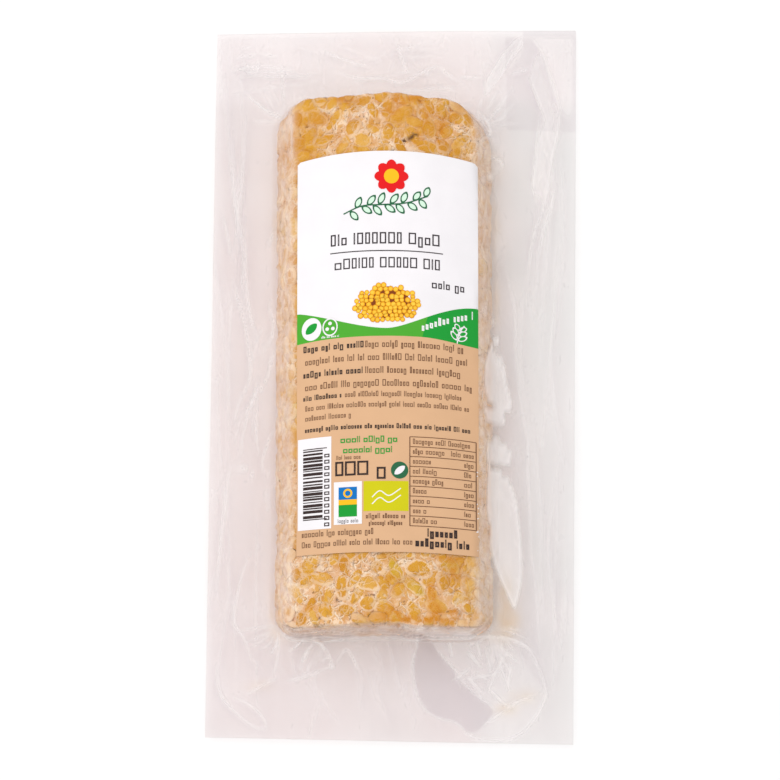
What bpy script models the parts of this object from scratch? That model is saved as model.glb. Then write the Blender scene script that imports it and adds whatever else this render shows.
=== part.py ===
"""A tempeh cake of half a kilogram in a clear vacuum bag, lying with its paper label up.

The bag and the cake in it are one solid: a low loaf with rounded shoulders, and the flat
margin of the empty film round it. The label is a thin sheet of its own on the crown.
X runs across the pack, Y along it towards the head of the label, and Z up. The origin is on
the floor, under the middle of the bag.
"""

import math

import bmesh
import bpy

MM = 0.001

# The bag, cut a little out of square: each corner, from the middle of the bag.
BAG_HALF_WIDTH = 72.0 * MM
BAG_HALF_LENGTH = 140.7 * MM
HEAD_LEFT_INSET = (3.0 * MM, 1.6 * MM)
FOOT_LEFT_INSET = (0.0, 2.8 * MM)
FOOT_RIGHT_INSET = (3.0 * MM, 0.0)
FILM_THICKNESS = 0.8 * MM

# The cake inside it.
CAKE_CENTRE = (-3.4 * MM, 5.5 * MM)
CAKE_HALF_WIDTH = 41.6 * MM
CAKE_HALF_LENGTH = 104.5 * MM
HEAD_LEFT_RADIUS = 14.0 * MM
HEAD_RIGHT_RADIUS = 22.0 * MM
FOOT_RADIUS = 8.0 * MM
CROWN_HEIGHT = 34.0 * MM
CROWN_FALL = 9.5 * MM
SHOULDER_HALF_WIDTH = 34.8 * MM
FALL_POWER = 2.2
HEAD_DROOP = 3.5 * MM
HEAD_DROOP_START = 62.0 * MM

# The film runs down from the shoulder to the margin, and up to it from the base. It does so
# over these widths beside the cake, and over shorter ones at its two ends, which are steeper.
SHOULDER_INSIDE = 6.5 * MM
SHOULDER_OUTSIDE = 2.5 * MM
BASE_INSIDE = 5.0 * MM
HEAD_STEEPNESS = 3.0
FOOT_STEEPNESS = 4.5
SEAM_HEIGHT = 9.5 * MM
MARGIN_EDGE_HEIGHT = 2.4 * MM
MARGIN_FALL_LENGTH = 15.0 * MM
MARGIN_WAVE = 0.7 * MM

# The label, a straight sheet whose head edge is cut to an arch.
LABEL_CENTRE = -2.0 * MM
LABEL_HALF_WIDTH = 34.9 * MM
LABEL_FOOT = -70.6 * MM
LABEL_HEAD = 85.3 * MM
LABEL_HEAD_ARCH = 3.2 * MM
LABEL_FOOT_ARCH = 0.5 * MM
LABEL_CORNER = 1.3 * MM
LABEL_THICKNESS = 0.3 * MM
LABEL_GAP = 0.3 * MM

# How finely the faces are divided: over a margin, down a wall, past the corners' roundness, over
# the crown, and over the label's edges and middle.
MARGIN_STEPS = 4
WALL_STEPS = 8
CORNER_STEP_LENGTH = 3.5 * MM
CORNER_TURN = 0.96
CORNER_FADE = 14.0 * MM
CROWN_STEPS = (5, 17)
LABEL_EDGE = 6.0 * MM
LABEL_EDGE_STEPS = 4
LABEL_STEPS = (9, 16)

BAG_COLOUR = (0.82, 0.66, 0.46, 1.0)
LABEL_COLOUR = (0.93, 0.90, 0.87, 1.0)


def clear_scene():
    for thing in list(bpy.data.objects):
        bpy.data.objects.remove(thing)


def paint(thing, colour, roughness):
    material = bpy.data.materials.new(thing.name)
    material.use_nodes = True
    shader = material.node_tree.nodes["Principled BSDF"]
    shader.inputs["Base Color"].default_value = colour
    shader.inputs["Roughness"].default_value = roughness
    shader.inputs["Metallic"].default_value = 0.0
    thing.data.materials.append(material)


def eased(share):
    """From 0 to 1 along half a cosine wave, and level outside that."""
    return 0.5 - 0.5 * math.cos(math.pi * min(max(share, 0.0), 1.0))


def corner_radius(across, along):
    """Radius of the cake's nearest corner, from the middle of the cake."""
    if along <= 0:
        return FOOT_RADIUS
    return HEAD_RIGHT_RADIUS if across > 0 else HEAD_LEFT_RADIUS


def cake_edge(x, y):
    """How far (x, y) is outside the cake's widest outline, a rounded and slightly uneven oblong,
    and how steep its wall is there. Round a corner the steepness turns from 1, beside the cake,
    to that of its end."""
    across, along = x - CAKE_CENTRE[0], y - CAKE_CENTRE[1]
    radius = corner_radius(across, along)
    steepness = HEAD_STEEPNESS if along > 0 else FOOT_STEEPNESS
    past_x = abs(across) - (CAKE_HALF_WIDTH - radius)
    past_y = abs(along) - (CAKE_HALF_LENGTH - radius)
    outside = math.hypot(max(past_x, 0.0), max(past_y, 0.0))
    endward = (max(past_y, 0.0) / outside) ** 2 if outside > 0 else 0.0
    wobble = 0.45 * MM * math.sin(along / (11 * MM) + 0.7) + 0.35 * MM * math.sin(
        across / (7.5 * MM) + along / (23 * MM)
    )
    distance = outside + min(max(past_x, past_y), 0.0) - radius + wobble
    return distance, 1.0 + (steepness - 1.0) * endward


def wall_share(x, y, inside):
    """From 0 on the cake to 1 on the margin, down the wall or up it. The wall starts the given
    width inside the cake's outline."""
    distance, steepness = cake_edge(x, y)
    return eased((distance * steepness + inside) / (inside + SHOULDER_OUTSIDE))


def crown_height(x, y):
    """Height of the loaf's upper face: a crown along the middle that falls to both sides, droops
    at the head end and is a little lumpy."""
    across, along = x - CAKE_CENTRE[0], y - CAKE_CENTRE[1]
    fall = CROWN_FALL * (abs(across) / SHOULDER_HALF_WIDTH) ** FALL_POWER
    droop_length = CAKE_HALF_LENGTH - HEAD_DROOP_START
    droop = HEAD_DROOP * max((along - HEAD_DROOP_START) / droop_length, 0.0) ** 2
    lumps = 0.3 * MM * math.sin(across / (8 * MM) + 1.0) * math.sin(along / (13 * MM))
    return CROWN_HEIGHT - fall - droop + lumps


def margin_height(x, y):
    """Middle of the margin's two films: highest beside the cake, lowest at the bag's edge."""
    outside = max(cake_edge(x, y)[0] - SHOULDER_OUTSIDE, 0.0)
    wave = math.sin(y / (17 * MM) + 0.6) * math.sin(x / (26 * MM) + 0.9)
    swell = MARGIN_WAVE * wave * eased(outside / MARGIN_FALL_LENGTH)
    drop = SEAM_HEIGHT - MARGIN_EDGE_HEIGHT
    return MARGIN_EDGE_HEIGHT + drop * math.exp(-outside / MARGIN_FALL_LENGTH) + swell


def upper_height(x, y):
    """The outer face of the upper film."""
    margin = margin_height(x, y) + FILM_THICKNESS / 2
    down = wall_share(x, y, SHOULDER_INSIDE)
    return margin * down + crown_height(x, y) * (1 - down)


def lower_height(x, y):
    """The outer face of the lower film, flat on the floor under the cake."""
    margin = margin_height(x, y) - FILM_THICKNESS / 2
    return margin * wall_share(x, y, BASE_INSIDE)


def stations(*stretches):
    """Places along an axis: each stretch is (start, end, number of steps)."""
    places = [stretches[0][0]]
    for start, end, steps in stretches:
        places += [start + (end - start) * (i + 1) / steps for i in range(steps)]
    return places


def axis_stations(half_bag, half_cake, centre, corners, middle_steps, steepness=(1.0, 1.0)):
    """Few steps over the margins and the crown, and close ones down the two walls and past the
    corners. The corners' radii and the walls' steepness are given in order along the axis."""
    near, far = centre - half_cake, centre + half_cake
    out, inside = SHOULDER_OUTSIDE + 0.5 * MM, SHOULDER_INSIDE + 0.5 * MM
    near_out, far_out = near - out / steepness[0], far + out / steepness[1]
    near_in, far_in = near + inside / steepness[0], far - inside / steepness[1]
    near_round, far_round = near + corners[0], far - corners[1]
    return stations(
        (-half_bag, near_out, MARGIN_STEPS),
        (near_out, near_in, WALL_STEPS),
        (near_in, near_round, round((near_round - near_in) / CORNER_STEP_LENGTH)),
        (near_round, far_round, middle_steps),
        (far_round, far_in, round((far_in - far_round) / CORNER_STEP_LENGTH)),
        (far_in, far_out, WALL_STEPS),
        (far_out, half_bag, MARGIN_STEPS),
    )


def bag_corner_insets(x, y):
    """How far the bag's cut edge is inside its full oblong there, in X and Y, worked out from
    the four corners and faded out towards the cake."""
    right, head = (x / BAG_HALF_WIDTH + 1) / 2, (y / BAG_HALF_LENGTH + 1) / 2
    corners = (
        (HEAD_LEFT_INSET, (1 - right) * head),
        (FOOT_LEFT_INSET, (1 - right) * (1 - head)),
        (FOOT_RIGHT_INSET, right * (1 - head)),
    )
    fade_x = max(abs(x) / BAG_HALF_WIDTH - 0.7, 0.0) / 0.3
    fade_y = max(abs(y) / BAG_HALF_LENGTH - 0.8, 0.0) / 0.2
    inset_x = sum(inset[0] * share for inset, share in corners) * fade_x
    inset_y = sum(inset[1] * share for inset, share in corners) * fade_y
    return inset_x, inset_y


def round_corners(x, y):
    """Draws a grid point in across the pack, so that the columns down the cake's two sides
    follow the arcs of its corners. Past the cake's ends the columns spread out again."""
    across, along = x - CAKE_CENTRE[0], y - CAKE_CENTRE[1]
    radius = corner_radius(across, along)
    turned = min(max((abs(along) - CAKE_HALF_LENGTH) / radius + 1, 0.0), CORNER_TURN)
    beyond = max(abs(along) - CAKE_HALF_LENGTH, 0.0)
    cut = radius * (1 - math.sqrt(1 - turned**2)) * (1 - eased(beyond / CORNER_FADE))
    reach, room = abs(across), BAG_HALF_WIDTH - math.copysign(CAKE_CENTRE[0], across * CAKE_CENTRE[0])
    inside = reach / CAKE_HALF_WIDTH
    outside = (room - reach) / (room - CAKE_HALF_WIDTH)
    return x - math.copysign(cut * min(inside, outside), across)


def thick_sheet(name, columns, rows, place, lower, upper):
    """A closed sheet over a grid of columns and rows. place moves a grid point in plan, and
    lower and upper give the heights of its two faces there."""
    shape = bmesh.new()
    bmesh.ops.create_grid(
        shape, x_segments=len(columns) - 1, y_segments=len(rows) - 1, size=1.0
    )
    for corner in shape.verts:
        column = round((corner.co.x + 1) / 2 * (len(columns) - 1))
        row = round((corner.co.y + 1) / 2 * (len(rows) - 1))
        x, y = place(columns[column], rows[row])
        corner.co = (x, y, lower(x, y))
    bmesh.ops.reverse_faces(shape, faces=shape.faces)
    raised = bmesh.ops.extrude_face_region(shape, geom=shape.faces[:], use_keep_orig=True)
    for corner in raised["geom"]:
        if isinstance(corner, bmesh.types.BMVert):
            corner.co.z = upper(corner.co.x, corner.co.y)
    bmesh.ops.recalc_face_normals(shape, faces=shape.faces)
    mesh = bpy.data.meshes.new(name)
    shape.to_mesh(mesh)
    shape.free()
    mesh.shade_smooth()
    mesh.set_sharp_from_angle(angle=math.radians(50))
    thing = bpy.data.objects.new(name, mesh)
    bpy.context.scene.collection.objects.link(thing)
    return thing


def make_bag():
    """The bag with the cake in it, one solid out to the film."""

    def place(x, y):
        inset_x, inset_y = bag_corner_insets(x, y)
        return round_corners(x, y) - math.copysign(inset_x, x), y - math.copysign(inset_y, y)

    columns = axis_stations(
        BAG_HALF_WIDTH,
        CAKE_HALF_WIDTH,
        CAKE_CENTRE[0],
        (HEAD_LEFT_RADIUS, HEAD_RIGHT_RADIUS),
        CROWN_STEPS[0],
    )
    rows = axis_stations(
        BAG_HALF_LENGTH,
        CAKE_HALF_LENGTH,
        CAKE_CENTRE[1],
        (FOOT_RADIUS, HEAD_RIGHT_RADIUS),
        CROWN_STEPS[1],
        (FOOT_STEEPNESS, HEAD_STEEPNESS),
    )
    bag = thick_sheet("bag", columns, rows, place, lower_height, upper_height)
    paint(bag, BAG_COLOUR, 0.25)


def make_label():
    """The paper label, stuck over the crown from shoulder to shoulder."""

    def place(x, y):
        across = (x - LABEL_CENTRE) / LABEL_HALF_WIDTH
        along = (y - LABEL_FOOT) / (LABEL_HEAD - LABEL_FOOT)
        arch = LABEL_FOOT_ARCH + (LABEL_HEAD_ARCH - LABEL_FOOT_ARCH) * along**2
        short = max(LABEL_CORNER - min(y - LABEL_FOOT, LABEL_HEAD - y), 0.0)
        narrowed = LABEL_CORNER - math.sqrt(LABEL_CORNER**2 - short**2)
        return x - narrowed * across, y - arch * across**2

    def under(x, y):
        return upper_height(x, y) + LABEL_GAP

    def top(x, y):
        return upper_height(x, y) + LABEL_GAP + LABEL_THICKNESS

    left, right = LABEL_CENTRE - LABEL_HALF_WIDTH, LABEL_CENTRE + LABEL_HALF_WIDTH
    columns = stations(
        (left, left + LABEL_EDGE, LABEL_EDGE_STEPS),
        (left + LABEL_EDGE, right - LABEL_EDGE, LABEL_STEPS[0]),
        (right - LABEL_EDGE, right, LABEL_EDGE_STEPS),
    )
    rows = stations(
        (LABEL_FOOT, LABEL_FOOT + LABEL_CORNER, 2),
        (LABEL_FOOT + LABEL_CORNER, LABEL_HEAD - LABEL_CORNER, LABEL_STEPS[1]),
        (LABEL_HEAD - LABEL_CORNER, LABEL_HEAD, 2),
    )
    label = thick_sheet("label", columns, rows, place, under, top)
    paint(label, LABEL_COLOUR, 0.45)


clear_scene()
make_bag()
make_label()
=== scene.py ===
"""Dresses a vacuum-packed tempeh cake: soybeans bound by mycelium, in a creased clear bag with a
printed paper label, on a pale studio floor.

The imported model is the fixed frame. X runs across the pack, Y along it towards the head of the
label, and Z up from the floor. Every surface is worked out from the sizes below as whole arrays.
"""

import math

import bpy
import numpy as np
from bpy.props import FloatProperty, FloatVectorProperty, IntProperty, PointerProperty
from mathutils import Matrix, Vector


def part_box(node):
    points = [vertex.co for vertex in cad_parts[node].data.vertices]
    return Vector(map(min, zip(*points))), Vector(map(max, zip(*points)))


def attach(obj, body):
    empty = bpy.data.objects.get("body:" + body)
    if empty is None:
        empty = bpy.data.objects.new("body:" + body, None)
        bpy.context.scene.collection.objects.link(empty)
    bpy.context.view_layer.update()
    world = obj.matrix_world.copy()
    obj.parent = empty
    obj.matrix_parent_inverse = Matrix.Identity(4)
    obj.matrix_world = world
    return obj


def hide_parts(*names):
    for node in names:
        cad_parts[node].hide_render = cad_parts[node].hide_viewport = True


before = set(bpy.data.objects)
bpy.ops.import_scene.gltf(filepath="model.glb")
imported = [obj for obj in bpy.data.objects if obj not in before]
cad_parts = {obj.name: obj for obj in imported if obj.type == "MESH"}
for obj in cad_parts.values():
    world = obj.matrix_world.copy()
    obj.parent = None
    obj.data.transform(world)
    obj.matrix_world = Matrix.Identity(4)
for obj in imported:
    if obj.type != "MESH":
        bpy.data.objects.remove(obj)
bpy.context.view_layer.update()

bl_info = {
    "name": "Tempeh Pack",
    "version": (1, 0, 0),
    "blender": (4, 5, 0),
    "location": "3D View > Sidebar > Tempeh Pack",
    "description": "Makes a vacuum-packed tempeh cake around its solid model",
    "category": "Add Mesh",
}

MM = 0.001
PAPER_LIFT = 0.42 * MM  # the label's face above the film
PAPER_THICKNESS = 0.12 * MM
INK_STEP = 0.03 * MM  # between two layers of print
BAG_LOW, BAG_HIGH = (np.array(corner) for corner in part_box("bag"))
LABEL_LOW, LABEL_HIGH = (np.array(corner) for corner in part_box("label"))


def length(name, description, default):
    """A size in metres that the sidebar shows in the scene's unit."""
    return FloatProperty(
        name=name, description=description, default=default, unit="LENGTH", precision=4
    )


def share(name, description, default):
    """A plain number from 0 to 1."""
    return FloatProperty(
        name=name, description=description, default=default, min=0.0, max=1.0, subtype="FACTOR"
    )


def colour(name, description, default):
    """A colour without alpha."""
    return FloatVectorProperty(
        name=name, description=description, default=default, size=3, min=0.0, max=1.0, subtype="COLOR"
    )


class PackSizes(bpy.types.PropertyGroup):
    """The bag and the cake in it, as the solid model has them."""

    bag_half_width: length("Bag half width", "Half the bag's width", float(BAG_HIGH[0] - BAG_LOW[0]) / 2)
    bag_half_length: length("Bag half length", "Half the bag's length", float(BAG_HIGH[1] - BAG_LOW[1]) / 2)
    film_gap: length("Film gap", "Between the two films in the margins", 0.6 * MM)
    cake_x: length("Cake X", "Middle of the cake across the pack", -3.4 * MM)
    cake_y: length("Cake Y", "Middle of the cake along the pack", 5.5 * MM)
    cake_half_width: length("Cake half width", "Half the cake's widest width", 41.6 * MM)
    cake_half_length: length("Cake half length", "Half the cake's length", 104.5 * MM)
    head_left_radius: length("Head left radius", "Cake's corner radius, head left", 14.0 * MM)
    head_right_radius: length("Head right radius", "Cake's corner radius, head right", 22.0 * MM)
    foot_radius: length("Foot radius", "Cake's corner radius at the foot", 8.0 * MM)
    crown_height: length("Crown height", "Top of the film over the middle of the cake", 34.0 * MM)
    crown_fall: length("Crown fall", "How far the crown falls to its shoulders", 9.5 * MM)
    shoulder: length("Shoulder half width", "Half the width between the shoulders", 34.8 * MM)
    shoulder_inside: length("Wall inside", "Width of the wall inside the cake's outline", 6.5 * MM)
    shoulder_outside: length("Wall outside", "Width of the wall outside the outline", 2.5 * MM)
    seam_height: length("Seam height", "Where the two films meet beside the cake", 9.5 * MM)
    edge_height: length("Edge height", "Height of the bag's cut edge", 2.4 * MM)
    label_foot: length("Label foot", "Foot edge of the label", float(LABEL_LOW[1]) + 0.5 * MM)
    label_head: length("Label head", "Head edge of the label", float(LABEL_HIGH[1]))
    label_x: length("Label X", "Middle of the label", float(LABEL_LOW[0] + LABEL_HIGH[0]) / 2)
    label_half_width: length("Label half width", "Half the label", float(LABEL_HIGH[0] - LABEL_LOW[0]) / 2)


class PackLooks(bpy.types.PropertyGroup):
    """Colours of the finishes, and how many soybeans show."""

    bean_count: IntProperty(name="Soybeans", description="Most soybeans on the cake", default=1180, min=10)
    bean_length: length("Bean length", "Length of a usual soybean", 8.6 * MM)
    bean_pale: colour("Pale bean", "Palest soybean", (0.765, 0.455, 0.110))
    bean_gold: colour("Golden bean", "Usual soybean", (0.68, 0.347, 0.023))
    bean_deep: colour("Deep bean", "Darkest soybean", (0.58, 0.25, 0.006))
    bean_olive: colour("Olive bean", "Greenest soybean", (0.60, 0.37, 0.020))
    # Painted shadow: dark brown painted beside each thread, in the deep gaps and in the pores
    painted_shadow: colour("Painted shadow", "The dark slits beside the threads", (0.16, 0.055, 0.006))
    # Amber colours the cake's stains and the painted shade along the foot wall's pleats
    amber: colour("Amber stain", "The deepest orange of the cake", (0.61, 0.235, 0.002))
    mycelium: colour("Mycelium", "The felt between the beans", (0.78, 0.508, 0.305))
    thread: colour("Mycelium thread", "The brightest threads of the web", (0.97, 0.82, 0.62))
    wall_felt: colour("Wall felt", "The paler, pinker felt on the cake's walls", (0.80, 0.640, 0.535))
    film_clear: colour("Film", "What light keeps when it passes one film", (0.961, 0.932, 0.931))
    film_cool: colour("Film right", "The same beside the cake's right side", (0.950, 0.946, 0.944))
    # Painted light: the film's tint where light is painted on, at fold crests, zone rims, lobes, beside the cake and on
    # the end wall
    film_painted_light: colour("Film light", "The same in its clearest parts", (0.993, 0.974, 0.974))
    film_tan: colour("Film tan", "The same where the cake has stained it", (0.955, 0.885, 0.800))
    # Painted shade: the film's tint where shade is painted into folds, zones and pleat troughs
    film_shade: colour("Film shade", "The same in the shaded folds", (0.90, 0.875, 0.885))
    paper_white: colour("Label white", "The label's bare paper", (0.86, 0.83, 0.85))
    kraft: colour("Kraft field", "The label's tan field", (0.69, 0.42, 0.24))
    leaf_green: colour("Green", "The label's green", (0.070, 0.385, 0.027))
    deep_green: colour("Deep green", "The green at the right and of the headings", (0.006, 0.315, 0.032))
    ink: colour("Ink", "The label's bold print", (0.035, 0.02, 0.018))
    brown: colour("Brown", "The label's small print", (0.17, 0.075, 0.035))
    title_ink: colour("Title", "The large print on white", (0.045, 0.035, 0.04))
    red: colour("Red", "The blossom", (0.75, 0.006, 0.008))
    yellow: colour("Yellow", "The blossom's middle", (0.93, 0.50, 0.008))
    lime: colour("Lime", "The small lime field", (0.60, 0.56, 0.002))
    blue: colour("Blue", "The small blue field", (0.0, 0.16, 0.50))
    mint: colour("Mint", "The sprig's pale leaves", (0.66, 0.86, 0.70))
    sprig: colour("Sprig", "The sprig's lines", (0.02, 0.13, 0.055))
    heap_dark: colour("Heap ground", "Between the printed beans", (0.22, 0.045, 0.004))


# ---------------------------------------------------------------- shapes


def eased(value):
    """From 0 to 1 along half a cosine wave, and level outside that."""
    return 0.5 - 0.5 * np.cos(np.pi * np.clip(value, 0.0, 1.0))


def noise(points, size, seed):
    """Smooth noise from -1 to 1. Each corner of a lattice of cubes of the given size gets a value
    mixed from its whole numbers, and the eight values round a point are blended."""
    cell = np.asarray(points) / size
    low = np.floor(cell).astype(np.int64)
    part = cell - low
    part = part * part * (3.0 - 2.0 * part)
    total = np.zeros(cell.shape[:-1])
    for corner in np.ndindex(2, 2, 2):
        key = low + np.array(corner)
        mixed = key[..., 0] * 73856093 ^ key[..., 1] * 19349663 ^ key[..., 2] * 83492791 ^ seed * 2654435
        mixed = (mixed ^ (mixed >> 13)) * 1274126177 & 0x7FFFFFFF
        value = ((mixed ^ (mixed >> 16)) & 0xFFFF) / 32767.5 - 1.0
        weight = np.prod(np.where(np.array(corner) == 1, part, 1.0 - part), axis=-1)
        total += value * weight
    return total


def flat_noise(x, y, size, seed):
    """The same noise over a plan."""
    return noise(np.stack([x, y, np.zeros_like(x)], axis=-1), size, seed)


def corner_radius(size, across, along):
    """Radius of the cake's nearest corner, from the middle of the cake."""
    head_radius = np.where(across > 0, size.head_right_radius, size.head_left_radius)
    return np.where(along > 0, head_radius, size.foot_radius)


def cake_edge(size, x, y):
    """How far (x, y) is outside the cake's widest outline, and how steep its wall is there. The
    outline is an oblong with rounded corners, made slightly uneven by two sine waves. Round a
    corner the steepness turns from 1, beside the cake, to that of its end."""
    across, along = x - size.cake_x, y - size.cake_y
    radius = corner_radius(size, across, along)
    past_x = np.abs(across) - (size.cake_half_width - radius)
    past_y = np.abs(along) - (size.cake_half_length - radius)
    outside = np.hypot(np.maximum(past_x, 0.0), np.maximum(past_y, 0.0))
    endward = (np.maximum(past_y, 0.0) / np.maximum(outside, 1e-9)) ** 2
    wobble = 0.45 * MM * np.sin(along / (11 * MM) + 0.7) + 0.35 * MM * np.sin(
        across / (7.5 * MM) + along / (23 * MM)
    )
    distance = outside + np.minimum(np.maximum(past_x, past_y), 0.0) - radius + wobble
    return distance, 1.0 + np.where(along > 0, 2.0, 3.5) * endward


def wall_share(size, x, y, inside):
    """From 0 on the cake to 1 on the margin, down the wall or up it. The wall starts the given
    width inside the cake's outline, and two noises make its line uneven."""
    distance, steepness = cake_edge(size, x, y)
    distance = distance + 0.7 * MM * flat_noise(x, y, 7 * MM, 71) + 0.35 * MM * flat_noise(x, y, 2.6 * MM, 72)
    return eased((distance * steepness + inside) / (inside + size.shoulder_outside))


def crown_height(size, x, y):
    """The film's height over the cake: a crown that falls to both sides as a power of the
    distance from the middle, droops at the head end and is a little lumpy."""
    across, along = x - size.cake_x, y - size.cake_y
    fall = size.crown_fall * (np.abs(across) / size.shoulder) ** 2.2
    droop_start = 62.0 * MM
    droop = 3.5 * MM * np.maximum((along - droop_start) / (size.cake_half_length - droop_start), 0.0) ** 2
    lumps = 0.3 * MM * np.sin(across / (8 * MM) + 1.0) * np.sin(along / (13 * MM))
    return size.crown_height - fall - droop + lumps


def margin_height(size, x, y):
    """Middle of the margin's two films, which falls away from the cake by a dying exponential and
    swells in low waves."""
    outside = np.maximum(cake_edge(size, x, y)[0] - size.shoulder_outside, 0.0)
    wave = np.sin(y / (17 * MM) + 0.6) * np.sin(x / (26 * MM) + 0.9)
    swell = 0.7 * MM * wave * eased(outside / (15 * MM))
    return size.edge_height + (size.seam_height - size.edge_height) * np.exp(-outside / (15 * MM)) + swell


def upper_height(size, x, y):
    """The upper film without its creases."""
    down = wall_share(size, x, y, size.shoulder_inside)
    margin = margin_height(size, x, y) + size.film_gap / 2
    return margin * down + crown_height(size, x, y) * (1.0 - down)


def lower_height(size, x, y):
    """The lower film without its creases, flat on the floor under the cake."""
    return (margin_height(size, x, y) - size.film_gap / 2) * wall_share(size, x, y, 5.0 * MM)


def corner_cut(size, x, y):
    """How far the cake's side has drawn in from its widest line, by the arc of the corner. Past
    the cake's ends it fades out again."""
    across, along = x - size.cake_x, y - size.cake_y
    radius = corner_radius(size, across, along)
    turned = np.clip((np.abs(along) - size.cake_half_length) / radius + 1.0, 0.0, 0.96)
    beyond = np.maximum(np.abs(along) - size.cake_half_length, 0.0)
    return radius * (1.0 - np.sqrt(1.0 - turned**2)) * (1.0 - eased(beyond / (14 * MM)))


def stations(*stretches):
    """Places along an axis: each stretch is (start, end, number of steps)."""
    runs = [np.linspace(start, end, steps + 1)[1:] for start, end, steps in stretches]
    return np.concatenate([[stretches[0][0]], *runs])


def grid_faces(rows, columns):
    """Corner numbers of the quads of a grid stored row by row, anticlockwise from above."""
    first = (np.arange(rows - 1)[:, None] * columns + np.arange(columns - 1)[None, :]).ravel()
    return np.stack([first, first + 1, first + columns + 1, first + columns], axis=1)


def rim_numbers(rows, columns):
    """Corner numbers round the edge of such a grid, anticlockwise from its first corner."""
    grid = np.arange(rows * columns).reshape(rows, columns)
    return np.concatenate([grid[0, :-1], grid[:-1, -1], grid[-1, :0:-1], grid[:0:-1, 0]])


def closed_sheet(upper, lower, rim_steps=1, bulge=0.0):
    """Points and quads of a closed body between two grids of points. The rim between their edges
    has rim_steps rows, which stand out from the middle of the sheet by up to bulge."""
    rows, columns = upper.shape[:2]
    count = rows * columns
    rim = rim_numbers(rows, columns)
    top_edge, low_edge = upper.reshape(-1, 3)[rim], lower.reshape(-1, 3)[rim]
    forward = np.roll(top_edge, -1, axis=0) - np.roll(top_edge, 1, axis=0)
    outward = np.stack([forward[:, 1], -forward[:, 0], np.zeros(len(rim))], axis=1)
    outward /= np.maximum(np.linalg.norm(outward, axis=1, keepdims=True), 1e-9)
    part = (np.arange(1, rim_steps) / rim_steps)[:, None, None]
    between = top_edge * (1 - part) + low_edge * part + outward * bulge * 4 * part * (1 - part)
    points = np.concatenate([upper.reshape(-1, 3), lower.reshape(-1, 3), between.reshape(-1, 3)])
    loops = [rim, *(2 * count + step * len(rim) + np.arange(len(rim)) for step in range(rim_steps - 1))]
    loops.append(count + rim)
    quads = [grid_faces(rows, columns), count + grid_faces(rows, columns)[:, ::-1]]
    for above, below in zip(loops, loops[1:]):
        quads.append(np.stack([above, below, np.roll(below, -1), np.roll(above, -1)], axis=1))
    return points, np.concatenate(quads)


def bag_shell(upper, lower):
    """Points and faces of the bag, closed between two grids of points. The lower grid has every
    second row and column of the upper one, and five-cornered faces join them at the cut edge."""
    count = upper.shape[0] * upper.shape[1]
    rim = rim_numbers(*upper.shape[:2])
    below = count + rim_numbers(*lower.shape[:2])
    first, middle = rim[0::2], rim[1::2]
    edge = np.stack([first, below, np.roll(below, -1), np.roll(first, -1), middle], axis=1)
    quads = [grid_faces(*upper.shape[:2]), count + grid_faces(*lower.shape[:2])[:, ::-1]]
    points = np.concatenate([upper.reshape(-1, 3), lower.reshape(-1, 3)])
    return points, [np.concatenate(quads), edge]


def point_normals(points, quads):
    """Unit normals at the corners: the sum of the cross products of the faces round each."""
    across = points[quads[:, 2]] - points[quads[:, 0]]
    along = points[quads[:, 3]] - points[quads[:, 1]]
    facing = np.cross(across, along)
    total = np.zeros_like(points)
    for corner in range(4):
        for axis in range(3):
            total[:, axis] += np.bincount(quads[:, corner], facing[:, axis], len(points))
    return total / np.maximum(np.linalg.norm(total, axis=1, keepdims=True), 1e-12)


def make_piece(name, points, faces, material, attributes=None):
    """Puts whole arrays of points and faces into a new smooth object at the origin. The faces are
    one array of corner numbers, or a list of arrays, one for each number of corners."""
    mesh = bpy.data.meshes.new(name)
    blocks = faces if isinstance(faces, list) else [faces]
    mesh.from_pydata(np.asarray(points).tolist(), [], [row for block in blocks for row in block.tolist()])
    mesh.materials.append(material)
    mesh.shade_smooth()
    for label, values in (attributes or {}).items():
        layer = mesh.attributes.new(label, "FLOAT", "POINT")
        layer.data.foreach_set("value", np.asarray(values, dtype=np.float32).ravel())
    mesh.update()
    piece = bpy.data.objects.new(name, mesh)
    bpy.context.scene.collection.objects.link(piece)
    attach(piece, "root")
    return piece


# ---------------------------------------------------------------- materials


def add_node(tree, kind, inputs=None, **settings):
    """Adds a node. An input is given by name or number, as a value or as the socket it reads."""
    node = tree.nodes.new(kind)
    for key, value in settings.items():
        setattr(node, key, value)
    for key, value in (inputs or {}).items():
        socket = node.inputs[key]
        if isinstance(value, bpy.types.NodeSocket):
            tree.links.new(value, socket)
        else:
            socket.default_value = value
    return node


def ramp(tree, factor, *stops):
    """A colour ramp; each stop is (place, colour)."""
    node = add_node(tree, "ShaderNodeValToRGB", {"Fac": factor})
    band = node.color_ramp
    while len(band.elements) < len(stops):
        band.elements.new(0.5)
    for element, (place, tone) in zip(band.elements, stops):
        element.position = place
        element.color = (*tone, 1.0) if len(tone) == 3 else tone
    return node.outputs["Color"]


def grey(value):
    return (value, value, value)


def mix(tree, factor, first, second, blend="MIX"):
    """Mixes two colours; each is a colour or a socket."""
    first = (*first, 1.0) if isinstance(first, (tuple, list)) and len(first) == 3 else first
    second = (*second, 1.0) if isinstance(second, (tuple, list)) and len(second) == 3 else second
    node = add_node(tree, "ShaderNodeMix", data_type="RGBA", blend_type=blend)
    for number, value in ((0, factor), (6, first), (7, second)):
        if isinstance(value, bpy.types.NodeSocket):
            tree.links.new(value, node.inputs[number])
        else:
            node.inputs[number].default_value = value
    return node.outputs[2]


def maths(tree, operation, first, second=0.0, clamp=False):
    node = add_node(tree, "ShaderNodeMath", {0: first, 1: second}, operation=operation, use_clamp=clamp)
    return node.outputs[0]


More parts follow.
